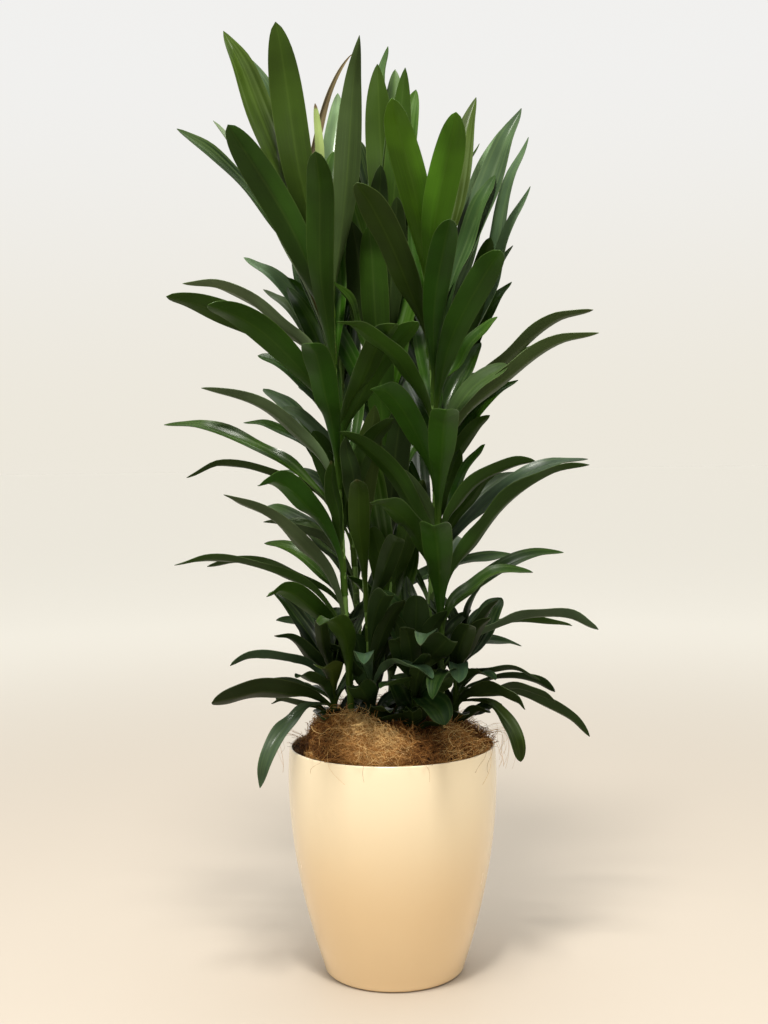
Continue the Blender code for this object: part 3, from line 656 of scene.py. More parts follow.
def stray_hairs():
    draw = np.random.default_rng(21)
    points = []
    faces = []
    shades = []
    for low, high, count in STRAY_PLACES:
        for turn in draw.uniform(low, high, count):
            faces += [[corner + len(points) for corner in face] for face in tube_faces(STRAY_POINTS, 4)]
            points += hair_points(stray_path(draw, turn), draw.uniform(0.00013, 0.00024))
            shades += [draw.uniform(0.35, 0.95)] * (STRAY_POINTS * 4)
    mesh = bpy.data.meshes.new("coir_stray_hairs")
    mesh.from_pydata(points, [], faces)
    mesh.attributes.new("strand", "FLOAT", "POINT").data.foreach_set("value", shades)
    mesh.materials.append(husk_fibre())
    mesh.shade_smooth()
    return mesh


hairs = placed("coir_stray_hairs", stray_hairs())
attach(hairs, "root")


# Leafy stems: smooth green canes with faint rings where old leaves sat, and long glossy straps of
# leaf that clasp the cane, fold to a channel and flatten outward to a blunt tip. Each stem grew as
# one piece and stands in the soil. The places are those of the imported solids, leaf by leaf.

EYE_DISTANCE = 2.29          # the front view is seen from here, level with EYE_HEIGHT
EYE_HEIGHT = 0.88
CANE_FOOT = 0.280            # height of the canes' lower ends, in the soil
CANE_RADIUS = 0.0055
SHOOT_RADIUS = 0.0045
GOLDEN_ANGLE = math.radians(137.5)
UP = Vector((0, 0, 1))

# foot and top are (x, y); the cane leans from one to the other and sways by sway on the way
Stem = namedtuple("Stem", "name foot top top_z radius sway leaves rule")
# tip x and z as the front view shows them at the pot's own distance, depth the tip's real y,
# root the height on the cane, bow the arch, facing the compass turn of an upright blade's face,
# blunt the tip's shape, from long and pointed at -0.6 to square at 1.3, by chance where it is None
Leaf = namedtuple("Leaf", "x z depth root width bow facing tone blunt", defaults=(0.05, None, "deep", None))
# leaves that follow the spiral: how many, between which roots, how long, how steep
Rule = namedtuple("Rule", "count root_low root_high length lift_low lift_high seed")


def leaves(*rows):
    return [Leaf(*row) for row in rows]


FRONT_LEFT = leaves(
    (-0.187, 1.635, -0.14, 1.15, 0.057, 0.02, 8, "fresh", 0.9),
    (-0.277, 1.620, -0.06, 1.17, 0.052, 0.02, 14, "olive", 0.3),
    (-0.236, 1.575, 0.05, 1.12, 0.042, 0.02, 40, "grey"),
    (-0.272, 1.458, -0.24, 1.07, 0.052, 0.10, 14, "deep", 1.0),
    (-0.121, 1.410, -0.25, 1.02, 0.046, 0.08, -6, "deep", 1.2),
    (-0.360, 1.452, -0.14, 1.11, 0.044, 0.13, 60, "dark"),
    (-0.296, 1.465, 0.08, 1.05, 0.040, 0.08, 60, "pale"),
    (-0.212, 1.400, 0.03, 1.00, 0.034, 0.06, 70),
    (-0.189, 1.430, 0.10, 1.03, 0.040, 0.04, 18, "pale"),
    (-0.120, 1.493, -0.04, 1.21, 0.016, 0.00, 20, "young"),
    (-0.051, 1.580, 0.05, 1.09, 0.022, 0.26, 70, "dried", -0.4),
    (-0.080, 1.510, 0.00, 1.19, 0.038, 0.02, 12, "pale", 0.4),
    (-0.042, 1.610, -0.02, 1.13, 0.045, 0.02, 12, "grey", -0.1),
    (-0.353, 1.184, -0.05, 0.97, 0.035, 0.27, None, "sage"),
    (-0.382, 1.162, -0.18, 0.95, 0.042, 0.25, 10),
    (-0.310, 1.147, -0.26, 0.92, 0.047, 0.25, 10, "deep", 1.2),
    (-0.136, 1.078, -0.31, 0.86, 0.046, 0.20, -10, "bright", 1.3),
    (0.013, 1.110, -0.30, 0.91, 0.041, 0.18, 15),
    (0.053, 1.113, -0.22, 0.89, 0.042, 0.15, 10),
    (-0.323, 1.003, -0.08, 0.80, 0.036, 0.30, None, "sage"),
    (-0.388, 0.940, -0.04, 0.76, 0.036, 0.30),
    (-0.225, 0.834, -0.28, 0.68, 0.042, 0.36, 0, "bright"),
    (-0.100, 0.875, -0.12, 0.72, 0.030, 0.10, 50),
    (-0.287, 0.818, -0.17, 0.61, 0.034, 0.20, None, "sage"),
    (-0.217, 0.733, -0.07, 0.62, 0.036, 0.25),
    (-0.373, 0.697, -0.06, 0.585, 0.036, 0.32),
    (-0.215, 0.641, -0.25, 0.53, 0.038, 0.33, 0),
    (-0.124, 0.590, -0.27, 0.49, 0.039, 0.36, 0),
)
FRONT_RIGHT = leaves(
    (0.012, 1.500, -0.24, 1.14, 0.052, 0.06, 8, "lime", 0.7),
    (0.123, 1.475, -0.26, 1.12, 0.053, 0.06, -8, "lime", 0.8),
    (0.159, 1.500, 0.00, 1.16, 0.044, 0.02, -18, "olive", 0.0),
    (0.237, 1.480, -0.03, 1.09, 0.050, -0.02, -24, "sage", 0.0),
    (0.190, 1.365, -0.06, 1.03, 0.034, 0.05, -30, "grey"),
    (-0.051, 1.355, -0.28, 1.06, 0.050, 0.08, -12, "brown", 1.0),
    (0.109, 1.290, -0.32, 1.00, 0.043, 0.12, 0, "bright", 1.0),
    (0.196, 1.235, -0.28, 0.95, 0.046, 0.12, -12, "bright", 1.1),
    (0.191, 1.120, -0.04, 0.975, 0.036, 0.08, -50),
    (-0.087, 1.115, -0.27, 0.93, 0.038, 0.15, -25),
    (0.366, 1.090, -0.08, 0.86, 0.040, 0.25, None, "grey"),
    (0.209, 1.036, -0.07, 0.89, 0.042, 0.25, -45, "grey"),
    (-0.030, 0.998, -0.28, 0.80, 0.044, 0.36, 0, "bright"),
    (0.100, 0.960, -0.33, 0.77, 0.047, 0.22, 0, "bright", 1.3),
    (0.167, 0.900, -0.05, 0.75, 0.030, 0.05, -60),
    (-0.005, 0.857, -0.06, 0.71, 0.044, 0.20, -20, "grey"),
    (0.253, 0.870, -0.06, 0.73, 0.038, 0.30),
    (-0.031, 0.802, -0.28, 0.64, 0.039, 0.28, -10),
    (0.074, 0.760, -0.31, 0.59, 0.050, 0.25, 0, "bright", 1.1),
    (0.347, 0.862, -0.06, 0.61, 0.044, 0.32),
    (0.247, 0.677, -0.05, 0.57, 0.036, 0.42),
    (0.359, 0.577, -0.07, 0.52, 0.038, 0.36, None, "silver"),
    (0.050, 0.553, -0.23, 0.53, 0.034, 0.32, None, "silver"),
)
MIDDLE = leaves(
    (0.008, 1.590, 0.10, 1.18, 0.038, 0.10, -40, "grey", 0.5),
    (-0.011, 1.560, 0.05, 1.21, 0.052, 0.02, 6, "fresh", 0.3),
    (0.020, 1.550, 0.13, 1.16, 0.044, 0.02, 14, "grey", 0.6),
    (0.037, 1.553, 0.07, 1.14, 0.044, 0.02, -8, "fresh", 0.3),
    (-0.075, 1.380, 0.03, 1.08, 0.046, 0.04, 20, "brown"),
    (-0.046, 1.430, 0.09, 1.12, 0.040, 0.04, 30, "dark"),
    (-0.008, 1.385, -0.02, 1.06, 0.040, 0.03, 10, "dark"),
    (0.020, 1.330, -0.03, 1.02, 0.042, 0.03, -10, "dark"),
    (-0.060, 1.290, -0.03, 0.99, 0.056, 0.04, 0, "dark"),
    (-0.030, 1.280, 0.02, 0.96, 0.050, 0.04, -8),
    (-0.093, 1.185, -0.04, 0.95, 0.034, 0.10, 55),
    (0.050, 1.190, 0.02, 0.92, 0.044, 0.05, -20),
    (-0.010, 1.110, 0.00, 0.86, 0.048, 0.05, 5),
    (0.025, 0.970, 0.00, 0.70, 0.052, 0.08, 0, "dark"),
    (0.060, 0.840, 0.00, 0.62, 0.040, 0.10, -20),
    (-0.030, 0.760, 0.00, 0.54, 0.040, 0.15, 15),
    (-0.074, 0.675, -0.06, 0.55, 0.030, 0.10, -40),
    (-0.045, 0.900, 0.02, 0.64, 0.046, 0.06, 15),
    (0.045, 0.730, 0.01, 0.52, 0.044, 0.10, -10),
    (-0.020, 0.830, 0.07, 0.58, 0.044, 0.08, 0),
    (0.010, 0.640, 0.03, 0.48, 0.042, 0.10, 0),
)
BACK_LEFT = leaves(
    (-0.246, 1.228, 0.09, 0.98, 0.036, 0.15, None, "pale"),
    (-0.213, 1.172, 0.07, 0.97, 0.032, 0.20, None, "sage"),
    (-0.182, 1.375, 0.04, 1.02, 0.036, 0.05, 50),
    (-0.224, 1.058, 0.09, 0.90, 0.040, 0.22),
    (-0.183, 0.967, 0.07, 0.83, 0.032, 0.20, None, "sage"),
    (-0.250, 0.942, 0.09, 0.80, 0.032, 0.28),
    (-0.130, 0.927, 0.05, 0.72, 0.046, 0.08, 10),
    (-0.350, 0.848, 0.05, 0.73, 0.032, 0.36),
    (-0.218, 0.770, 0.02, 0.66, 0.032, 0.25, None, "sage"),
    (-0.173, 0.774, 0.08, 0.64, 0.032, 0.20, None, "grey"),
    (-0.316, 0.694, 0.05, 0.58, 0.034, 0.28),
    (-0.198, 0.600, 0.09, 0.50, 0.034, 0.30),
)
BACK_RIGHT = leaves(
    (0.164, 1.420, 0.08, 1.09, 0.030, 0.08, -78),
    (0.203, 1.445, 0.05, 1.06, 0.048, 0.04, -22, "pale", 0.2),
    (0.249, 1.430, 0.06, 1.02, 0.038, -0.05, -52, "sage", 0.0),
    (0.251, 1.345, 0.01, 1.00, 0.032, -0.06, -60, "pale", 0.1),
    (0.181, 1.258, 0.01, 0.96, 0.040, 0.05, -20),
    (0.220, 1.243, 0.11, 0.97, 0.034, 0.08, -50),
    (0.217, 1.180, 0.06, 0.93, 0.032, 0.10),
    (0.357, 1.130, -0.01, 0.89, 0.035, 0.26, None, "grey"),
    (0.290, 1.076, 0.05, 0.86, 0.034, 0.22),
    (0.226, 1.010, 0.09, 0.83, 0.032, 0.22),
    (0.176, 0.950, 0.03, 0.79, 0.032, 0.18),
    (0.124, 0.893, 0.04, 0.74, 0.034, 0.05, -35),
    (0.185, 0.850, 0.00, 0.70, 0.030, 0.08),
    (0.345, 0.872, 0.06, 0.65, 0.036, 0.30, None, "silver"),
    (0.314, 0.584, 0.04, 0.50, 0.038, 0.30),
    (0.226, 0.550, 0.09, 0.49, 0.032, 0.30),
)
SHORT = leaves(
    (-0.023, 0.970, -0.06, 0.71, 0.048, 0.04, 0, "olive"),
    (-0.057, 0.842, -0.26, 0.65, 0.035, 0.18, -8, "fresh"),
    (-0.075, 0.915, -0.06, 0.72, 0.034, 0.04, 30),
    (0.015, 0.740, -0.20, 0.60, 0.034, 0.20, -20),
    (-0.005, 0.640, -0.22, 0.53, 0.034, 0.28, -10),
    (-0.048, 0.522, -0.22, 0.49, 0.034, 0.30, None, "silver"),
    (0.070, 0.495, -0.21, 0.48, 0.032, 0.34, None, "silver"),
    (-0.062, 0.575, -0.10, 0.450, 0.044, 0.10, 10),
    (-0.030, 0.600, 0.00, 0.470, 0.044, 0.06, 0),
    (-0.062, 0.480, -0.13, 0.442, 0.046, 0.20, 10),
)
MIDDLE_SHOOT = leaves(
    (0.104, 0.560, -0.13, 0.500, 0.048, 0.12, -15),
    (-0.010, 0.650, -0.04, 0.500, 0.048, 0.06, 10),
    (0.045, 0.640, -0.05, 0.505, 0.046, 0.05, -10),
    (0.008, 0.565, -0.20, 0.485, 0.040, 0.22, 10),
    (0.062, 0.530, -0.17, 0.475, 0.038, 0.30),
    (-0.020, 0.480, -0.16, 0.468, 0.036, 0.30),
    (0.092, 0.415, -0.17, 0.462, 0.048, 0.38, 0),
    (0.000, 0.500, -0.13, 0.440, 0.050, 0.20, 5),
    (0.048, 0.480, -0.14, 0.438, 0.050, 0.25, -10),
    (0.105, 0.500, -0.12, 0.442, 0.046, 0.22, -20),
)
LEFT_SHOOT = leaves(
    (-0.202, 0.573, -0.05, 0.475, 0.036, 0.30),
    (-0.279, 0.522, -0.08, 0.470, 0.036, 0.40, None, "silver"),
    (-0.293, 0.465, 0.03, 0.465, 0.032, 0.25),
    (-0.198, 0.460, 0.10, 0.460, 0.028, 0.30),
    (-0.312, 0.458, -0.17, 0.452, 0.052, 0.15, 0, "dark"),
    (-0.230, 0.310, -0.16, 0.456, 0.029, 0.45, None, "silver"),
    (-0.120, 0.515, -0.20, 0.470, 0.042, 0.22, 0, "olive"),
    (-0.110, 0.600, -0.02, 0.480, 0.034, 0.06, 20),
    (-0.165, 0.500, -0.13, 0.455, 0.036, 0.25),
)
RIGHT_SHOOT = leaves(
    (0.135, 0.588, -0.15, 0.490, 0.038, 0.10, -15),
    (0.150, 0.507, -0.13, 0.490, 0.032, 0.30, None, "olive"),
    (0.116, 0.488, -0.23, 0.485, 0.032, 0.36, None, "silver"),
    (0.257, 0.490, -0.07, 0.465, 0.032, 0.42),
    (0.180, 0.492, -0.11, 0.475, 0.032, 0.30),
    (0.283, 0.470, 0.05, 0.470, 0.032, 0.26),
    (0.283, 0.452, -0.03, 0.455, 0.032, 0.26),
    (0.342, 0.392, 0.01, 0.462, 0.032, 0.28),
    (0.230, 0.440, -0.12, 0.450, 0.046, 0.28, 0, "dark"),
    (0.222, 0.350, -0.06, 0.458, 0.027, 0.50, None, "olive"),
    (0.070, 0.460, -0.15, 0.480, 0.034, 0.30),
)
STEMS = [
    Stem("stem_front_left", (-0.060, -0.050), (-0.097, -0.045), 1.24, CANE_RADIUS, -0.004,
         FRONT_LEFT, Rule(5, 0.62, 1.16, 0.34, 50, 75, 1)),
    Stem("stem_front_right", (0.083, -0.050), (0.070, -0.050), 1.22, CANE_RADIUS, 0.006,
         FRONT_RIGHT, Rule(5, 0.62, 1.12, 0.34, 50, 75, 2)),
    Stem("stem_middle", (0.000, 0.030), (-0.012, 0.045), 1.27, CANE_RADIUS, 0.004,
         MIDDLE, Rule(12, 0.60, 1.20, 0.40, 30, 76, 3)),
    Stem("stem_back_left", (-0.045, 0.055), (-0.085, 0.075), 1.08, CANE_RADIUS, 0.003,
         BACK_LEFT, Rule(15, 0.52, 1.05, 0.38, 20, 74, 4)),
    Stem("stem_back_right", (0.055, 0.055), (0.105, 0.065), 1.12, CANE_RADIUS, -0.004,
         BACK_RIGHT, Rule(15, 0.52, 1.09, 0.38, 20, 74, 5)),
    Stem("stem_short", (-0.028, -0.028), (-0.050, -0.035), 0.80, SHOOT_RADIUS, 0.002,
         SHORT, Rule(0, 0.5, 0.7, 0.2, 40, 60, 6)),
    Stem("shoot_middle", (0.035, -0.055), (0.040, -0.060), 0.53, SHOOT_RADIUS, 0.0,
         MIDDLE_SHOOT, Rule(3, 0.450, 0.500, 0.16, 20, 50, 9)),
    Stem("shoot_left", (-0.095, -0.015), (-0.100, -0.025), 0.50, SHOOT_RADIUS, 0.0,
         LEFT_SHOOT, Rule(4, 0.450, 0.490, 0.20, 20, 50, 7)),
    Stem("shoot_right", (0.105, -0.010), (0.112, -0.020), 0.52, SHOOT_RADIUS, 0.0,
         RIGHT_SHOOT, Rule(4, 0.450, 0.510, 0.20, 20, 50, 8)),
]


def cane_point(stem, height):
    along = (height - CANE_FOOT) / (stem.top_z - CANE_FOOT)
    sway = stem.sway * math.sin(math.pi * along)
    x = stem.foot[0] + (stem.top[0] - stem.foot[0]) * along + sway
    y = stem.foot[1] + (stem.top[1] - stem.foot[1]) * along
    return Vector((x, y, height))


def tip_point(leaf, depth):
    """Where the tip lies in space, moved out along the front view's line of sight."""
    spread = (EYE_DISTANCE + depth) / EYE_DISTANCE
    return Vector((leaf.x * spread, depth, EYE_HEIGHT + (leaf.z - EYE_HEIGHT) * spread))


# where a leaf of the solid may lie; height is its root on the cane
Lie = namedtuple("Lie", "height tip width bow facing tone blunt", defaults=(None,))


def seen_lies(leaf):
    """The leaf as listed, then nearer or farther along the line of sight."""
    for step in range(25):
        shift = 0.010 * ((step + 1) // 2) * (-1 if step % 2 else 1)
        # from its width on, the row stays as it is
        yield Lie(leaf.root, tip_point(leaf, leaf.depth + shift), *leaf[4:])


def rule_lies(stem, index, draw):
    """A leaf of the spiral, with small turns, lifts and lengths tried in order."""
    rule = stem.rule
    share = (index + 0.5) / rule.count
    height = rule.root_low + (rule.root_high - rule.root_low) * share
    turn = index * GOLDEN_ANGLE + draw.uniform(-0.25, 0.25)
    turn = math.pi * (0.08 + 0.84 * ((turn / math.tau) % 1.0))
    lift = rule.lift_low + (rule.lift_high - rule.lift_low) * share + draw.uniform(-6, 6)
    length = rule.length * draw.uniform(0.85, 1.1)
    width = 0.036 + 0.010 * share
    for step in range(31):
        side = -1 if step % 2 else 1
        swing = turn + side * 0.09 * ((step + 1) // 2)
        rise = math.radians(lift + 4 * (step % 3))
        reach = length * (1 - 0.02 * (step // 3))
        base = height + 0.004 * (step % 4)
        out = Vector((math.cos(swing) * 0.8, math.sin(swing), 0)) * math.cos(rise)
        tip = cane_point(stem, base) + (out + UP * math.sin(rise)) * reach
        yield Lie(base, tip, width, 0.05 + 0.25 * (1 - share), None, "deep")


def grown_leaves(stem):
    """The lie of each leaf that the solid has: the one whose tip is a corner of the solid."""
    corners = frame["nodes"][stem.name].data.vertices
    tips = KDTree(len(corners))
    for index, corner in enumerate(corners):
        tips.insert(corner.co, index)
    tips.balance()
    draw = np.random.default_rng(stem.rule.seed)
    choices = [seen_lies(leaf) for leaf in stem.leaves]
    choices += [rule_lies(stem, index, draw) for index in range(stem.rule.count)]
    found = [next((lie for lie in lies if tips.find(lie.tip)[2] < 0.0002), None) for lies in choices]
    return [lie for lie in found if lie is not None]


def solid_leaves():
    """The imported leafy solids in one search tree."""
    points = []
    faces = []
    for stem in STEMS:
        mesh = frame["nodes"][stem.name].data
        faces += [tuple(corner + len(points) for corner in face.vertices) for face in mesh.polygons]
        points += [corner.co.copy() for corner in mesh.vertices]
    return BVHTree.FromPolygons(points, faces)


SOLID_LEAVES = solid_leaves()

# short leaves deep inside the low clump, too small for the solids: between which heights on the
# cane, how steep in degrees and how long, and how many rise and how many hang like a skirt
Fill = namedtuple("Fill", "low high lift_low lift_high reach_low reach_high")
RISING = Fill(0.435, 0.495, 38, 78, 0.12, 0.20)
SKIRT = Fill(0.408, 0.440, 16, 52, 0.070, 0.115)
FILL_COUNTS = {"stem_short": (7, 7), "shoot_middle": (9, 9), "shoot_left": (6, 5), "shoot_right": (7, 6)}
INNER_TRIES = 12             # the roomiest of these places is taken


def inner_lies(stem):
    """The short dark leaves of the low clump, each where the solids leave it the most room."""
    draw = np.random.default_rng(stem.rule.seed + 200)
    lies = []
    for fill, count in zip((RISING, SKIRT), FILL_COUNTS.get(stem.name, ())):
        for index in range(count):
            most = -1.0
            for _ in range(INNER_TRIES):
                height = draw.uniform(fill.low, fill.high)
                turn = index * GOLDEN_ANGLE + draw.uniform(-0.5, 0.5)
                lift = math.radians(draw.uniform(fill.lift_low, fill.lift_high))
                way = Vector((math.cos(turn), math.sin(turn), 0)) * math.cos(lift) + UP * math.sin(lift)
                way = way * draw.uniform(fill.reach_low, fill.reach_high)
                root = cane_point(stem, height)
                room = min(SOLID_LEAVES.find_nearest(root + way * step)[3] for step in (0.45, 0.7, 1.0))
                if room > most:
                    most = room
                    # the dark tone is painted shade, for the shadow deep in the clump
                    best = Lie(height, root + way, draw.uniform(0.023, 0.034), 0.18, None, "dark", 0.2)
            lies.append(best)
    return lies


# linear colours: mostly a deep green that looks nearly black in shade
# some tones are partly painted light: bright is lighter for light coming through front-leaning blades, pale,
# sage and silver are paler for the sheen on blades that catch the light, and dark and low are darker as
# painted shade inside the plant and its low clump
TONES = {
    "deep": (0.0165, 0.0480, 0.0020),
    "fresh": (0.0230, 0.0540, 0.0025),
    "bright": (0.0150, 0.0600, 0.0020),
    "lime": (0.0600, 0.1650, 0.0060),
    "grey": (0.0360, 0.0680, 0.0190),
    "pale": (0.1150, 0.1750, 0.0850),
    "silver": (0.0460, 0.0800, 0.0420),
    "sage": (0.0650, 0.1000, 0.0480),
    "brown": (0.0200, 0.0430, 0.0025),
    "olive": (0.0290, 0.0490, 0.0045),
    "dried": (0.1300, 0.0950, 0.0500),
    "dark": (0.0080, 0.0200, 0.0035),
    "low": (0.0110, 0.0300, 0.0060),
    "young": (0.3000, 0.3600, 0.1200),
}
DRYNESS = {"young": 1.0, "dried": 1.0, "lime": -1.0}
FRESHEST = 0.88              # leaves rooted near this height are a little paler
RIB_GREEN = (0.100, 0.160, 0.030, 1.0)
# painted sheen: a paler green laid in long streaks on the blades' upper sides
PAINTED_SHEEN_GREEN = (0.180, 0.270, 0.075, 1.0)
CLASP_GREEN = (0.075, 0.140, 0.012, 1.0)
# partly the margins' own paler green and partly painted rim light along the edges
MARGIN_AND_RIM_LIGHT_GREEN = (0.160, 0.210, 0.070, 1.0)
UNDER_GREEN = (0.075, 0.110, 0.030, 1.0)
WITHERED = (0.100, 0.072, 0.034, 1.0)
CANE_SHADE = (0.080, 0.165, 0.022, 1.0)
CANE_GREEN = (0.170, 0.300, 0.055, 1.0)
CANE_WOOD = (0.110, 0.095, 0.050, 1.0)
BLADE_RINGS = 36
SHEATH_RINGS = 5
CLASP_RINGS = SHEATH_RINGS + 4
ACROSS = 8
CANE_SIDES = 14
CANE_STEP = 0.004            # from one ring of the cane's points to the next
SCAR_HEIGHT = 0.0005         # the rings that old leaves left stand out this far
SCAR_BREADTH = 0.0022
SHEATH_LENGTH = 0.034
SHEATH_WRAP = 1.9            # half the angle that a sheath clasps, in radians
BLADE_HALF = 0.0004          # half the blade's thickness
TWIST_SHARE = 0.45           # by here a blade has turned to its own lie
MOST_TWIST = math.radians(100)
DRIED_CURL = 0.046           # how far aside a dried leaf bends
BENT_LENGTH = 0.35           # a blade this long bends by up to these, in metres
SWEEP = 0.010
HOOK = 0.013
RIPPLE = 0.0028
WAVE = 0.0048
LEVEL_LIE = 2.1              # how far a blade's face turns up where it runs level
TURNED_LIE = 0.8             # the same, for a blade that faces a side
BEND_RINGS = 12              # the bend from the sheath to the arch is eased over these


def square_to(vectors, tangents):
    """The vectors without their part along the blade, as unit vectors."""
    return unit(vectors - tangents * (vectors * tangents).sum(-1, keepdims=True))


def midrib(root, tip, bow):
    """Three control points of the arch from the cane to the tip."""
    chord = tip - root
    rise = UP - chord * (UP.dot(chord) / chord.length_squared)
    if rise.length < 0.05:
        rise = Vector((0, 0.05, 0))
    elbow = root + chord * 0.38 + rise.normalized() * (bow * chord.length)
    return np.array(root), np.array(elbow), np.array(tip)


def blade_profile(along, blunt, slow):
    """Share of the full width: a narrow channel first, widest past the middle, a pointed or blunt tip."""
    widest = 0.62 + 0.08 * blunt
    grown = np.sin(np.pi / 2 * np.clip(along / widest, 0, 1)) ** slow
    past = np.clip((along - widest) / (1 - widest), 0, 1)
    rounded = np.maximum(0, 1 - past ** (2.1 + 0.9 * blunt)) ** (0.80 - 0.20 * blunt)
    return np.where(along < widest, 0.21 + 0.79 * grown, rounded)


def own_lie(tangents, start, end, facing):
    """Unit vectors to the upper side that the blade turns to: up, or towards the side it faces."""
    up = np.array(UP)
    heading = unit((end - start) * (1, 1, 0))
    across = square_to(up - 0.35 * heading, unit(end - start))
    if facing is None and across[2] < 0.3:
        return square_to(np.broadcast_to(across, tangents.shape), tangents)
    turn = math.radians(facing or 0)
    faced = np.array([math.sin(turn), -math.cos(turn), 0.0])
    if faced.dot(across) < 0:
        faced = -faced
    level = np.linalg.norm(tangents[:, :2], axis=1)[:, None]
    lie = LEVEL_LIE if facing is None else TURNED_LIE
    return square_to(faced + up * lie * level, tangents)


def blade_lie(along, tangents, start, end, facing, out):
    """The upper side at each ring: towards the cane in the sheath, then turning evenly to its lie."""
    carried = [square_to(-out, tangents[0])]
    for tangent in tangents[1:]:
        carried.append(square_to(carried[-1], tangent))
    carried = np.array(carried)
    aside = np.cross(tangents, carried)
    lie = own_lie(tangents, start, end, facing)
    turn = np.unwrap(np.arctan2((lie * aside).sum(1), (lie * carried).sum(1)))
    turn = np.clip(turn, -MOST_TWIST, MOST_TWIST) * smooth(along, 0.0, TWIST_SHARE)
    return carried * np.cos(turn)[:, None] + aside * np.sin(turn)[:, None]


def blade_path(stem, lie):
    """Ring centres from the foot of the sheath, up the cane's side and out along the arch."""
    middle = cane_point(stem, lie.height)
    out = Vector((lie.tip.x - middle.x, lie.tip.y - middle.y, 0)).normalized()
    start, elbow, end = midrib(middle + out * 0.5 * stem.radius, lie.tip, lie.bow)
    out = np.array(out)
    even = np.linspace(0, 1, BLADE_RINGS)
    along = 0.55 * even + 0.45 * (1 - np.cos(np.pi * even)) / 2
    t = along[:, None]
    arch = start * (1 - t) ** 2 + elbow * 2 * t * (1 - t) + end * t ** 2
    arch += out * 0.55 * stem.radius * (1 - smooth(t, 0.0, 0.12))
    if lie.tone == "dried":
        arch[:, 0] -= DRIED_CURL * np.sin(np.pi * even) ** 0.8
    heights = np.linspace(-SHEATH_LENGTH, -0.003, SHEATH_RINGS)
    sheath = [np.array(cane_point(stem, lie.height + h)) + out * stem.radius * 1.05 for h in heights]
    path = np.vstack([sheath, arch])
    for _ in range(5):
        eased = 0.25 * path[:BEND_RINGS - 1] + 0.5 * path[1:BEND_RINGS] + 0.25 * path[2:BEND_RINGS + 1]
        path[1:BEND_RINGS] = eased
    along = np.concatenate([np.full(SHEATH_RINGS, -0.001), along])
    return path, along, (start, end), out


def bent_blade(path, tangents, normals, t, length, draw):
    """Small bends of its own: a lazy sideways sweep, a rise before the tip and a slow ripple."""
    sides = np.cross(tangents, normals)
    sweep = draw.uniform(-1, 1) * SWEEP * length / BENT_LENGTH * np.sin(np.pi * t) ** 2
    hook = draw.uniform(0.1, 1.0) * HOOK * length / BENT_LENGTH
    hook = hook * (smooth(t, 0.5, 0.86) - smooth(t, 0.86, 1.0))
    beat = math.tau * (draw.uniform(1.2, 2.4) * t + draw.uniform(0, 1))
    ripple = RIPPLE * smooth(t, 0.15, 0.4) * (1 - smooth(t, 0.85, 1.0)) * np.sin(beat)
    return path + sides * sweep[:, None] + normals * (hook + ripple)[:, None]


def blade_section(stem, lie, t, length, draw):
    """How far the points of each ring lie aside of its centre and above it."""
    blunt = draw.uniform(0.1, 1.1)
    blunt = blunt if lie.blunt is None else lie.blunt
    half = 0.5 * lie.width * blade_profile(t, blunt, draw.uniform(1.2, 2.0))
    wrap = 0.16 + draw.uniform(0.85, 1.15) * (1 - smooth(t, 0.05, 0.62)) ** 1.3
    clasp = np.zeros(len(t))
    clasp[:CLASP_RINGS] = np.linspace(1, 0, CLASP_RINGS)
    wrap = (wrap * (1 - clasp) + SHEATH_WRAP * clasp)[:, None]
    half = half * (1 - clasp) + SHEATH_WRAP * (stem.radius + 2 * BLADE_HALF) * clasp
    half = np.maximum(half, BLADE_HALF)[:, None]
    a = np.linspace(-1, 1, ACROSS + 1)
    crease = draw.uniform(0.20, 0.44) * half * np.abs(a) * (1 - clasp)[:, None]
    size = draw.uniform(0.2, 1.0) * WAVE * smooth(length, 0.10, BENT_LENGTH)
    beat = math.tau * (draw.uniform(2.2, 3.6) * t + draw.uniform(0, 1))
    window = smooth(t, 0.2, 0.45) * (1 - smooth(t, 0.90, 1.0))
    wave = size * (window * np.sin(beat))[:, None] * np.abs(a) ** 1.6
    wave *= np.where(a > 0, 1.0, draw.uniform(-0.6, 0.8))
    aside = half * np.sin(wrap * a) / wrap
    return aside, half * (1 - np.cos(wrap * a)) / wrap + crease + wave


def blade_grid(stem, lie, draw):
    """Top points of a blade, ring by ring, with their upper side and place along it."""
    path, along, (start, end), out = blade_path(stem, lie)
    t = np.clip(along, 0, 1)
    length = np.linalg.norm(np.diff(path, axis=0), axis=1).sum()
    tangents = unit(np.gradient(path, axis=0))
    normals = blade_lie(t, tangents, start, end, lie.facing, out)
    path = bent_blade(path, tangents, normals, t, length, draw)
    tangents = unit(np.gradient(path, axis=0))
    normals = square_to(normals, tangents)
    sides = np.cross(tangents, normals)
    roll = math.radians(draw.uniform(-10, 10)) * t[:, None] ** 2
    sides, normals = (sides * np.cos(roll) + normals * np.sin(roll),
                      normals * np.cos(roll) - sides * np.sin(roll))
    aside, above = blade_section(stem, lie, t, length, draw)
    grid = path[:, None] + sides[:, None] * aside[..., None] + normals[:, None] * above[..., None]
    return grid, normals, t


# the points' places across and along, the one colour, which points are underneath, how dry
Skin = namedtuple("Skin", "points faces uvs tone under dry")


def grid_uvs(across, along):
    return np.stack(np.broadcast_arrays(across, along[:, None]), axis=-1).reshape(-1, 2)


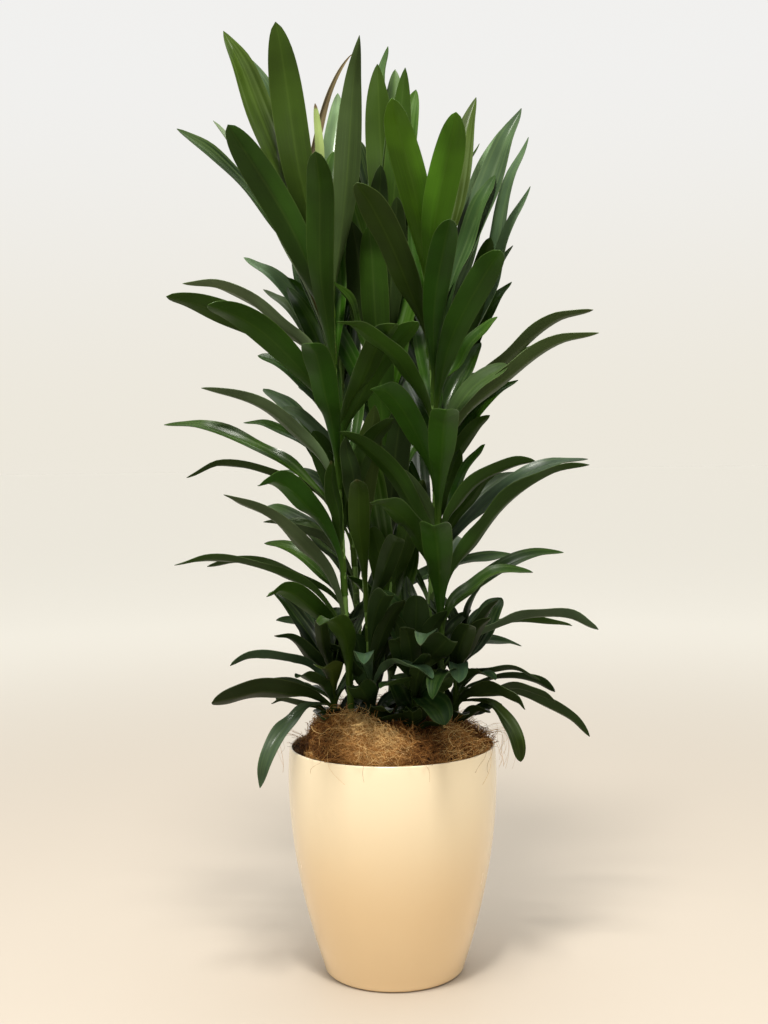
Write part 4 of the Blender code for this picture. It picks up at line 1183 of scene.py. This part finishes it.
def blade_skin(stem, lie, draw):
    """A closed blade: its upper and lower skins and the rim between them."""
    grid, normals, t = blade_grid(stem, lie, draw)
    rings, wide = grid.shape[:2]
    thick = normals[:, None] * BLADE_HALF
    points = np.vstack([(grid + thick).reshape(-1, 3), (grid - thick).reshape(-1, 3)])
    index = np.arange(rings * wide).reshape(rings, wide)
    a, b, c, d = index[:-1, :-1], index[:-1, 1:], index[1:, 1:], index[1:, :-1]
    upper = np.stack([a, b, c, d], axis=-1).reshape(-1, 4)
    lower = np.stack([a, d, c, b], axis=-1).reshape(-1, 4) + index.size
    rim = np.concatenate([index[:, 0], index[-1, 1:], index[-2::-1, -1], index[0, -2:0:-1]])
    after = np.roll(rim, -1)
    edge = np.stack([rim, after, after + index.size, rim + index.size], axis=-1)
    uvs = np.tile(grid_uvs(np.linspace(0, 1, wide), t), (2, 1))
    # no two leaves are quite the same colour
    tone = np.array(TONES[lie.tone] + (1.0,))
    tone[:3] *= draw.uniform(0.82, 1.18)
    tone[:3] *= 1 + 0.24 * math.exp(-((lie.height - FRESHEST) / 0.11) ** 2)
    tone[0] *= draw.uniform(0.85, 1.12)
    under = np.repeat([0.0, 1.0], index.size)
    dry = DRYNESS.get(lie.tone, 0.0) + draw.uniform(0, 0.46)
    return Skin(points, np.vstack([upper, lower, edge]).tolist(), uvs, tone, under, dry)


def cane_skin(stem):
    """The cane as a round tube with a low ring at each old leaf's place."""
    rings = int((stem.top_z - CANE_FOOT) / CANE_STEP)
    heights = np.linspace(CANE_FOOT + 0.001, stem.top_z, rings)
    draw = np.random.default_rng(stem.rule.seed + 50)
    scars = np.cumsum(draw.uniform(0.012, 0.024, 90)) + CANE_FOOT
    near = np.abs(heights[:, None] - scars).min(axis=1)
    radius = stem.radius * (1 - 0.05 * draw.uniform(0, 1))
    radius = radius + SCAR_HEIGHT * np.exp(-(near / SCAR_BREADTH) ** 2)
    radius = radius * np.sqrt(np.clip((stem.top_z + 0.002 - heights) / 0.006, 0.02, 1))
    turn = np.linspace(0, math.tau, CANE_SIDES, endpoint=False)
    circle = np.stack([np.cos(turn), np.sin(turn), np.zeros(CANE_SIDES)], axis=-1)
    centres = np.array([cane_point(stem, h) for h in heights])
    points = (centres[:, None] + radius[:, None, None] * circle).reshape(-1, 3)
    uvs = grid_uvs(np.linspace(0, 1, CANE_SIDES), heights)
    return Skin(points, tube_faces(rings, CANE_SIDES), uvs, (0.1, 0.2, 0.05, 1.0), np.zeros(len(points)), 0.0)


def dracaena_leaf():
    finish = Finish("dracaena_leaf", Specular_IOR_Level=0.08, Coat_Roughness=0.27)
    place = finish.coordinates()
    strap = finish.coordinates("UV")
    across, along, _ = finish.parts(strap)
    off_rib = abs(across - 0.5)
    rib = 1 - finish.between(off_rib, 0.010, 0.050)
    # the pale margin along each edge: partly the blade's own paler edge, partly painted rim light
    margin = finish.between(off_rib, 0.470, 0.494)
    veins = finish.noise(finish.stretched(strap, (46.0, 2.4, 1.0)), 1.0, 4.0)
    cloud = finish.noise(place, 9.0, 2.0)
    under = finish.attribute("under")
    tone = finish.attribute("tone", "Color")
    shaded = finish.mix(0.55, tone, (0.30, 0.30, 0.30, 1.0), "MULTIPLY")
    bright = finish.mix(0.45, tone, (1.6, 1.7, 1.2, 1.0), "MULTIPLY")
    # long soft streaks along the upper side: their paler green is painted sheen, and they also get more coat
    sheen = finish.noise(finish.stretched(strap, (7.0, 0.9, 1.0)), 1.0, 1.0)
    sheen = finish.between(sheen * 0.7 + cloud * 0.3, 0.46, 0.64) * (1 - under)
    clasp = 1 - finish.between(along, 0.02, 0.18)
    frayed = along + 0.05 * (finish.noise(place, 90.0) - 0.5)
    withered = finish.between(frayed, 0.955, 0.985) * finish.between(finish.attribute("dry"), 0.42, 0.5)
    colour = finish.mix(finish.between(cloud, 0.36, 0.66), shaded, tone)
    colour = finish.mix(0.35 * finish.between(veins, 0.45, 0.70), colour, bright)
    for share, paler in (
        (0.09 * rib, RIB_GREEN),
        (0.12 * sheen, PAINTED_SHEEN_GREEN),
        (0.40 * clasp, CLASP_GREEN),
        (0.16 * margin, MARGIN_AND_RIM_LIGHT_GREEN),
        (0.12 * under, UNDER_GREEN),
        (withered, WITHERED),
    ):
        colour = finish.mix(share, colour, paler)
    glossy = (0.18 + 0.80 * sheen) * (1 - under) * (1 - finish.between(along, 0.60, 0.88))
    relief = 0.003 * veins - 0.06 * rib * (1 - 2 * under) + finish.noise(place, 26.0, 1.0)
    finish.drive(
        Base_Color=colour,
        Roughness=0.27 + 0.10 * cloud + 0.06 * veins + 0.12 * under,
        Coat_Weight=glossy + 0.02,
        Normal=finish.bump(relief, 0.0008),
    )
    return finish.material


def dracaena_cane():
    finish = Finish("dracaena_cane")
    place = finish.coordinates()
    mottled = finish.noise(finish.stretched(place, (120.0, 120.0, 25.0)), 1.0, 3.0)
    colour = finish.mix(mottled, CANE_SHADE, CANE_GREEN)
    woody = 1 - finish.between(finish.parts(place)[2], 0.42, 0.56)
    finish.drive(
        Base_Color=finish.mix(0.6 * woody, colour, CANE_WOOD),
        Roughness=0.42 + 0.15 * mottled,
        Normal=finish.bump(mottled, 0.0004),
    )
    return finish.material


leaf_finish = dracaena_leaf()
cane_finish = dracaena_cane()


def leafy_stem(stem):
    """The cane and all its leaves as one mesh, with their UVs and tones."""
    draw = np.random.default_rng(stem.rule.seed + 100)
    skins = [cane_skin(stem)]
    for lie in grown_leaves(stem) + inner_lies(stem):
        # the low shoots' deep-green leaves take the darker low tone: painted shade of the clump
        if stem.radius == SHOOT_RADIUS and lie.tone == "deep":
            lie = lie._replace(tone="low")
        skins.append(blade_skin(stem, lie, draw))
    faces = []
    total = 0
    for skin in skins:
        faces += [[corner + total for corner in face] for face in skin.faces]
        total += len(skin.points)
    mesh = bpy.data.meshes.new(stem.name)
    mesh.from_pydata(np.vstack([skin.points for skin in skins]).tolist(), [], faces)
    mesh.materials.append(leaf_finish)
    mesh.materials.append(cane_finish)
    of_cane = np.arange(len(faces)) < len(skins[0].faces)
    mesh.polygons.foreach_set("material_index", of_cane.astype(np.int32))
    corners = np.zeros(len(mesh.loops), dtype=np.int32)
    mesh.loops.foreach_get("vertex_index", corners)
    uvs = np.concatenate([skin.uvs for skin in skins])
    mesh.uv_layers.new(name="strap").data.foreach_set("uv", uvs[corners].ravel())
    counts = [len(skin.points) for skin in skins]
    tone = np.repeat([skin.tone for skin in skins], counts, axis=0)
    under = np.concatenate([skin.under for skin in skins])
    dry = np.repeat([skin.dry for skin in skins], counts)
    mesh.attributes.new("tone", "FLOAT_COLOR", "POINT").data.foreach_set("color", tone.ravel())
    for name, values in (("under", under), ("dry", dry)):
        mesh.attributes.new(name, "FLOAT", "POINT").data.foreach_set("value", values)
    return mesh


for stem in STEMS:
    piece = placed("leafy_" + stem.name, leafy_stem(stem))
    soften(piece, 50)
    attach(piece, "root")
    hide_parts(stem.name)
    "low_leaf" if stem.radius == SHOOT_RADIUS else "leaf"


# Room: a plain pale floor under soft light from large panels, the main ones overhead and high on the
# left in front. The floor and the air are paler behind the plant than before it, and meet in like
# colours. The camera stands level with the plant's middle, 2.3 m away.

FLOOR_REACH = 90
FLOOR_BEFORE = (0.49, 0.43, 0.355, 1.0)
FLOOR_BEHIND = (0.823, 0.787, 0.706, 1.0)
LOW_BEFORE = (0.516, 0.460, 0.380, 1.0)
LOW_BEHIND = (0.845, 0.805, 0.713, 1.0)
HIGH_BEFORE = (0.47, 0.455, 0.43, 1.0)
HIGH_BEHIND = (0.88, 0.875, 0.86, 1.0)
OVERHEAD = (1.25, 1.24, 1.20, 1.0)
TURN_TO_BACK = (-0.6, 0.5)   # between these shares of the way back, the colours turn
WARM = (1.0, 0.97, 0.92)
WHITE = (1.0, 1.0, 1.0)


def add_floor():
    mesh = bpy.data.meshes.new("floor")
    turn = np.linspace(0, math.tau, 96, endpoint=False)
    rim = [(FLOOR_REACH * math.cos(t), FLOOR_REACH * math.sin(t), 0.0) for t in turn]
    mesh.from_pydata(rim, [], [tuple(range(len(rim)))])
    finish = Finish("pale_floor", Roughness=0.6)
    x, y, _ = finish.parts(finish.coordinates())
    out = (x * x + y * y) ** 0.5
    behind = finish.between(y / out, *TURN_TO_BACK) * finish.between(out, 0.8, 5.0)
    finish.drive(Base_Color=finish.mix(behind, FLOOR_BEFORE, FLOOR_BEHIND))
    mesh.materials.append(finish.material)
    placed("floor", mesh)


def add_air():
    """Soft air all round: paler towards the back and overhead, and like the far floor at its edge."""
    world = bpy.data.worlds.new("air")
    bpy.context.scene.world = world
    world.use_nodes = True
    air = Nodes(world.node_tree)
    _, y, z = air.parts(air.coordinates("Generated"))
    behind = air.between(y, *TURN_TO_BACK)
    high = air.mix(behind, HIGH_BEFORE, HIGH_BEHIND)
    low = air.mix(behind, LOW_BEFORE, LOW_BEHIND)
    colour = air.mix(air.between(z, 0.0, 0.30), low, high)
    colour = air.mix(air.between(z, 0.4, 0.9), colour, OVERHEAD)
    air.feed(air.tree.nodes["Background"].inputs["Color"], colour)


def add_panel(name, place, aim, size, power, colour):
    """A square light panel that faces a point."""
    light = bpy.data.lights.new(name, "AREA")
    light.shape = "RECTANGLE"
    light.size = size[0]
    light.size_y = size[1]
    light.energy = power
    light.color = colour
    way = (Vector(aim) - Vector(place)).to_track_quat("-Z", "Y").to_matrix().to_4x4()
    placed(name, light).matrix_world = Matrix.Translation(place) @ way


def add_camera():
    lens = bpy.data.cameras.new("camera")
    lens.lens = 46.55
    lens.shift_y = -55 / 1024
    camera = placed("camera", lens)
    level = Matrix.Rotation(math.radians(90), 4, "X")
    roll = Matrix.Rotation(math.radians(-0.7), 4, "Z")
    camera.matrix_world = Matrix.Translation((-0.008, -EYE_DISTANCE, EYE_HEIGHT)) @ level @ roll
    bpy.context.scene.camera = camera


add_floor()
add_air()
add_panel("key", (-0.15, -1.05, 2.9), (0.0, -0.1, 0.6), (0.42, 0.42), 80, WARM)
add_panel("front", (-1.3, -2.3, 1.9), (0.0, 0.0, 0.6), (0.9, 1.1), 11, WARM)
add_panel("top", (0.2, 0.4, 3.3), (0.0, 0.0, 0.9), (1.6, 1.6), 26, WHITE)
add_camera()
bpy.context.scene.view_settings.view_transform = "Standard"
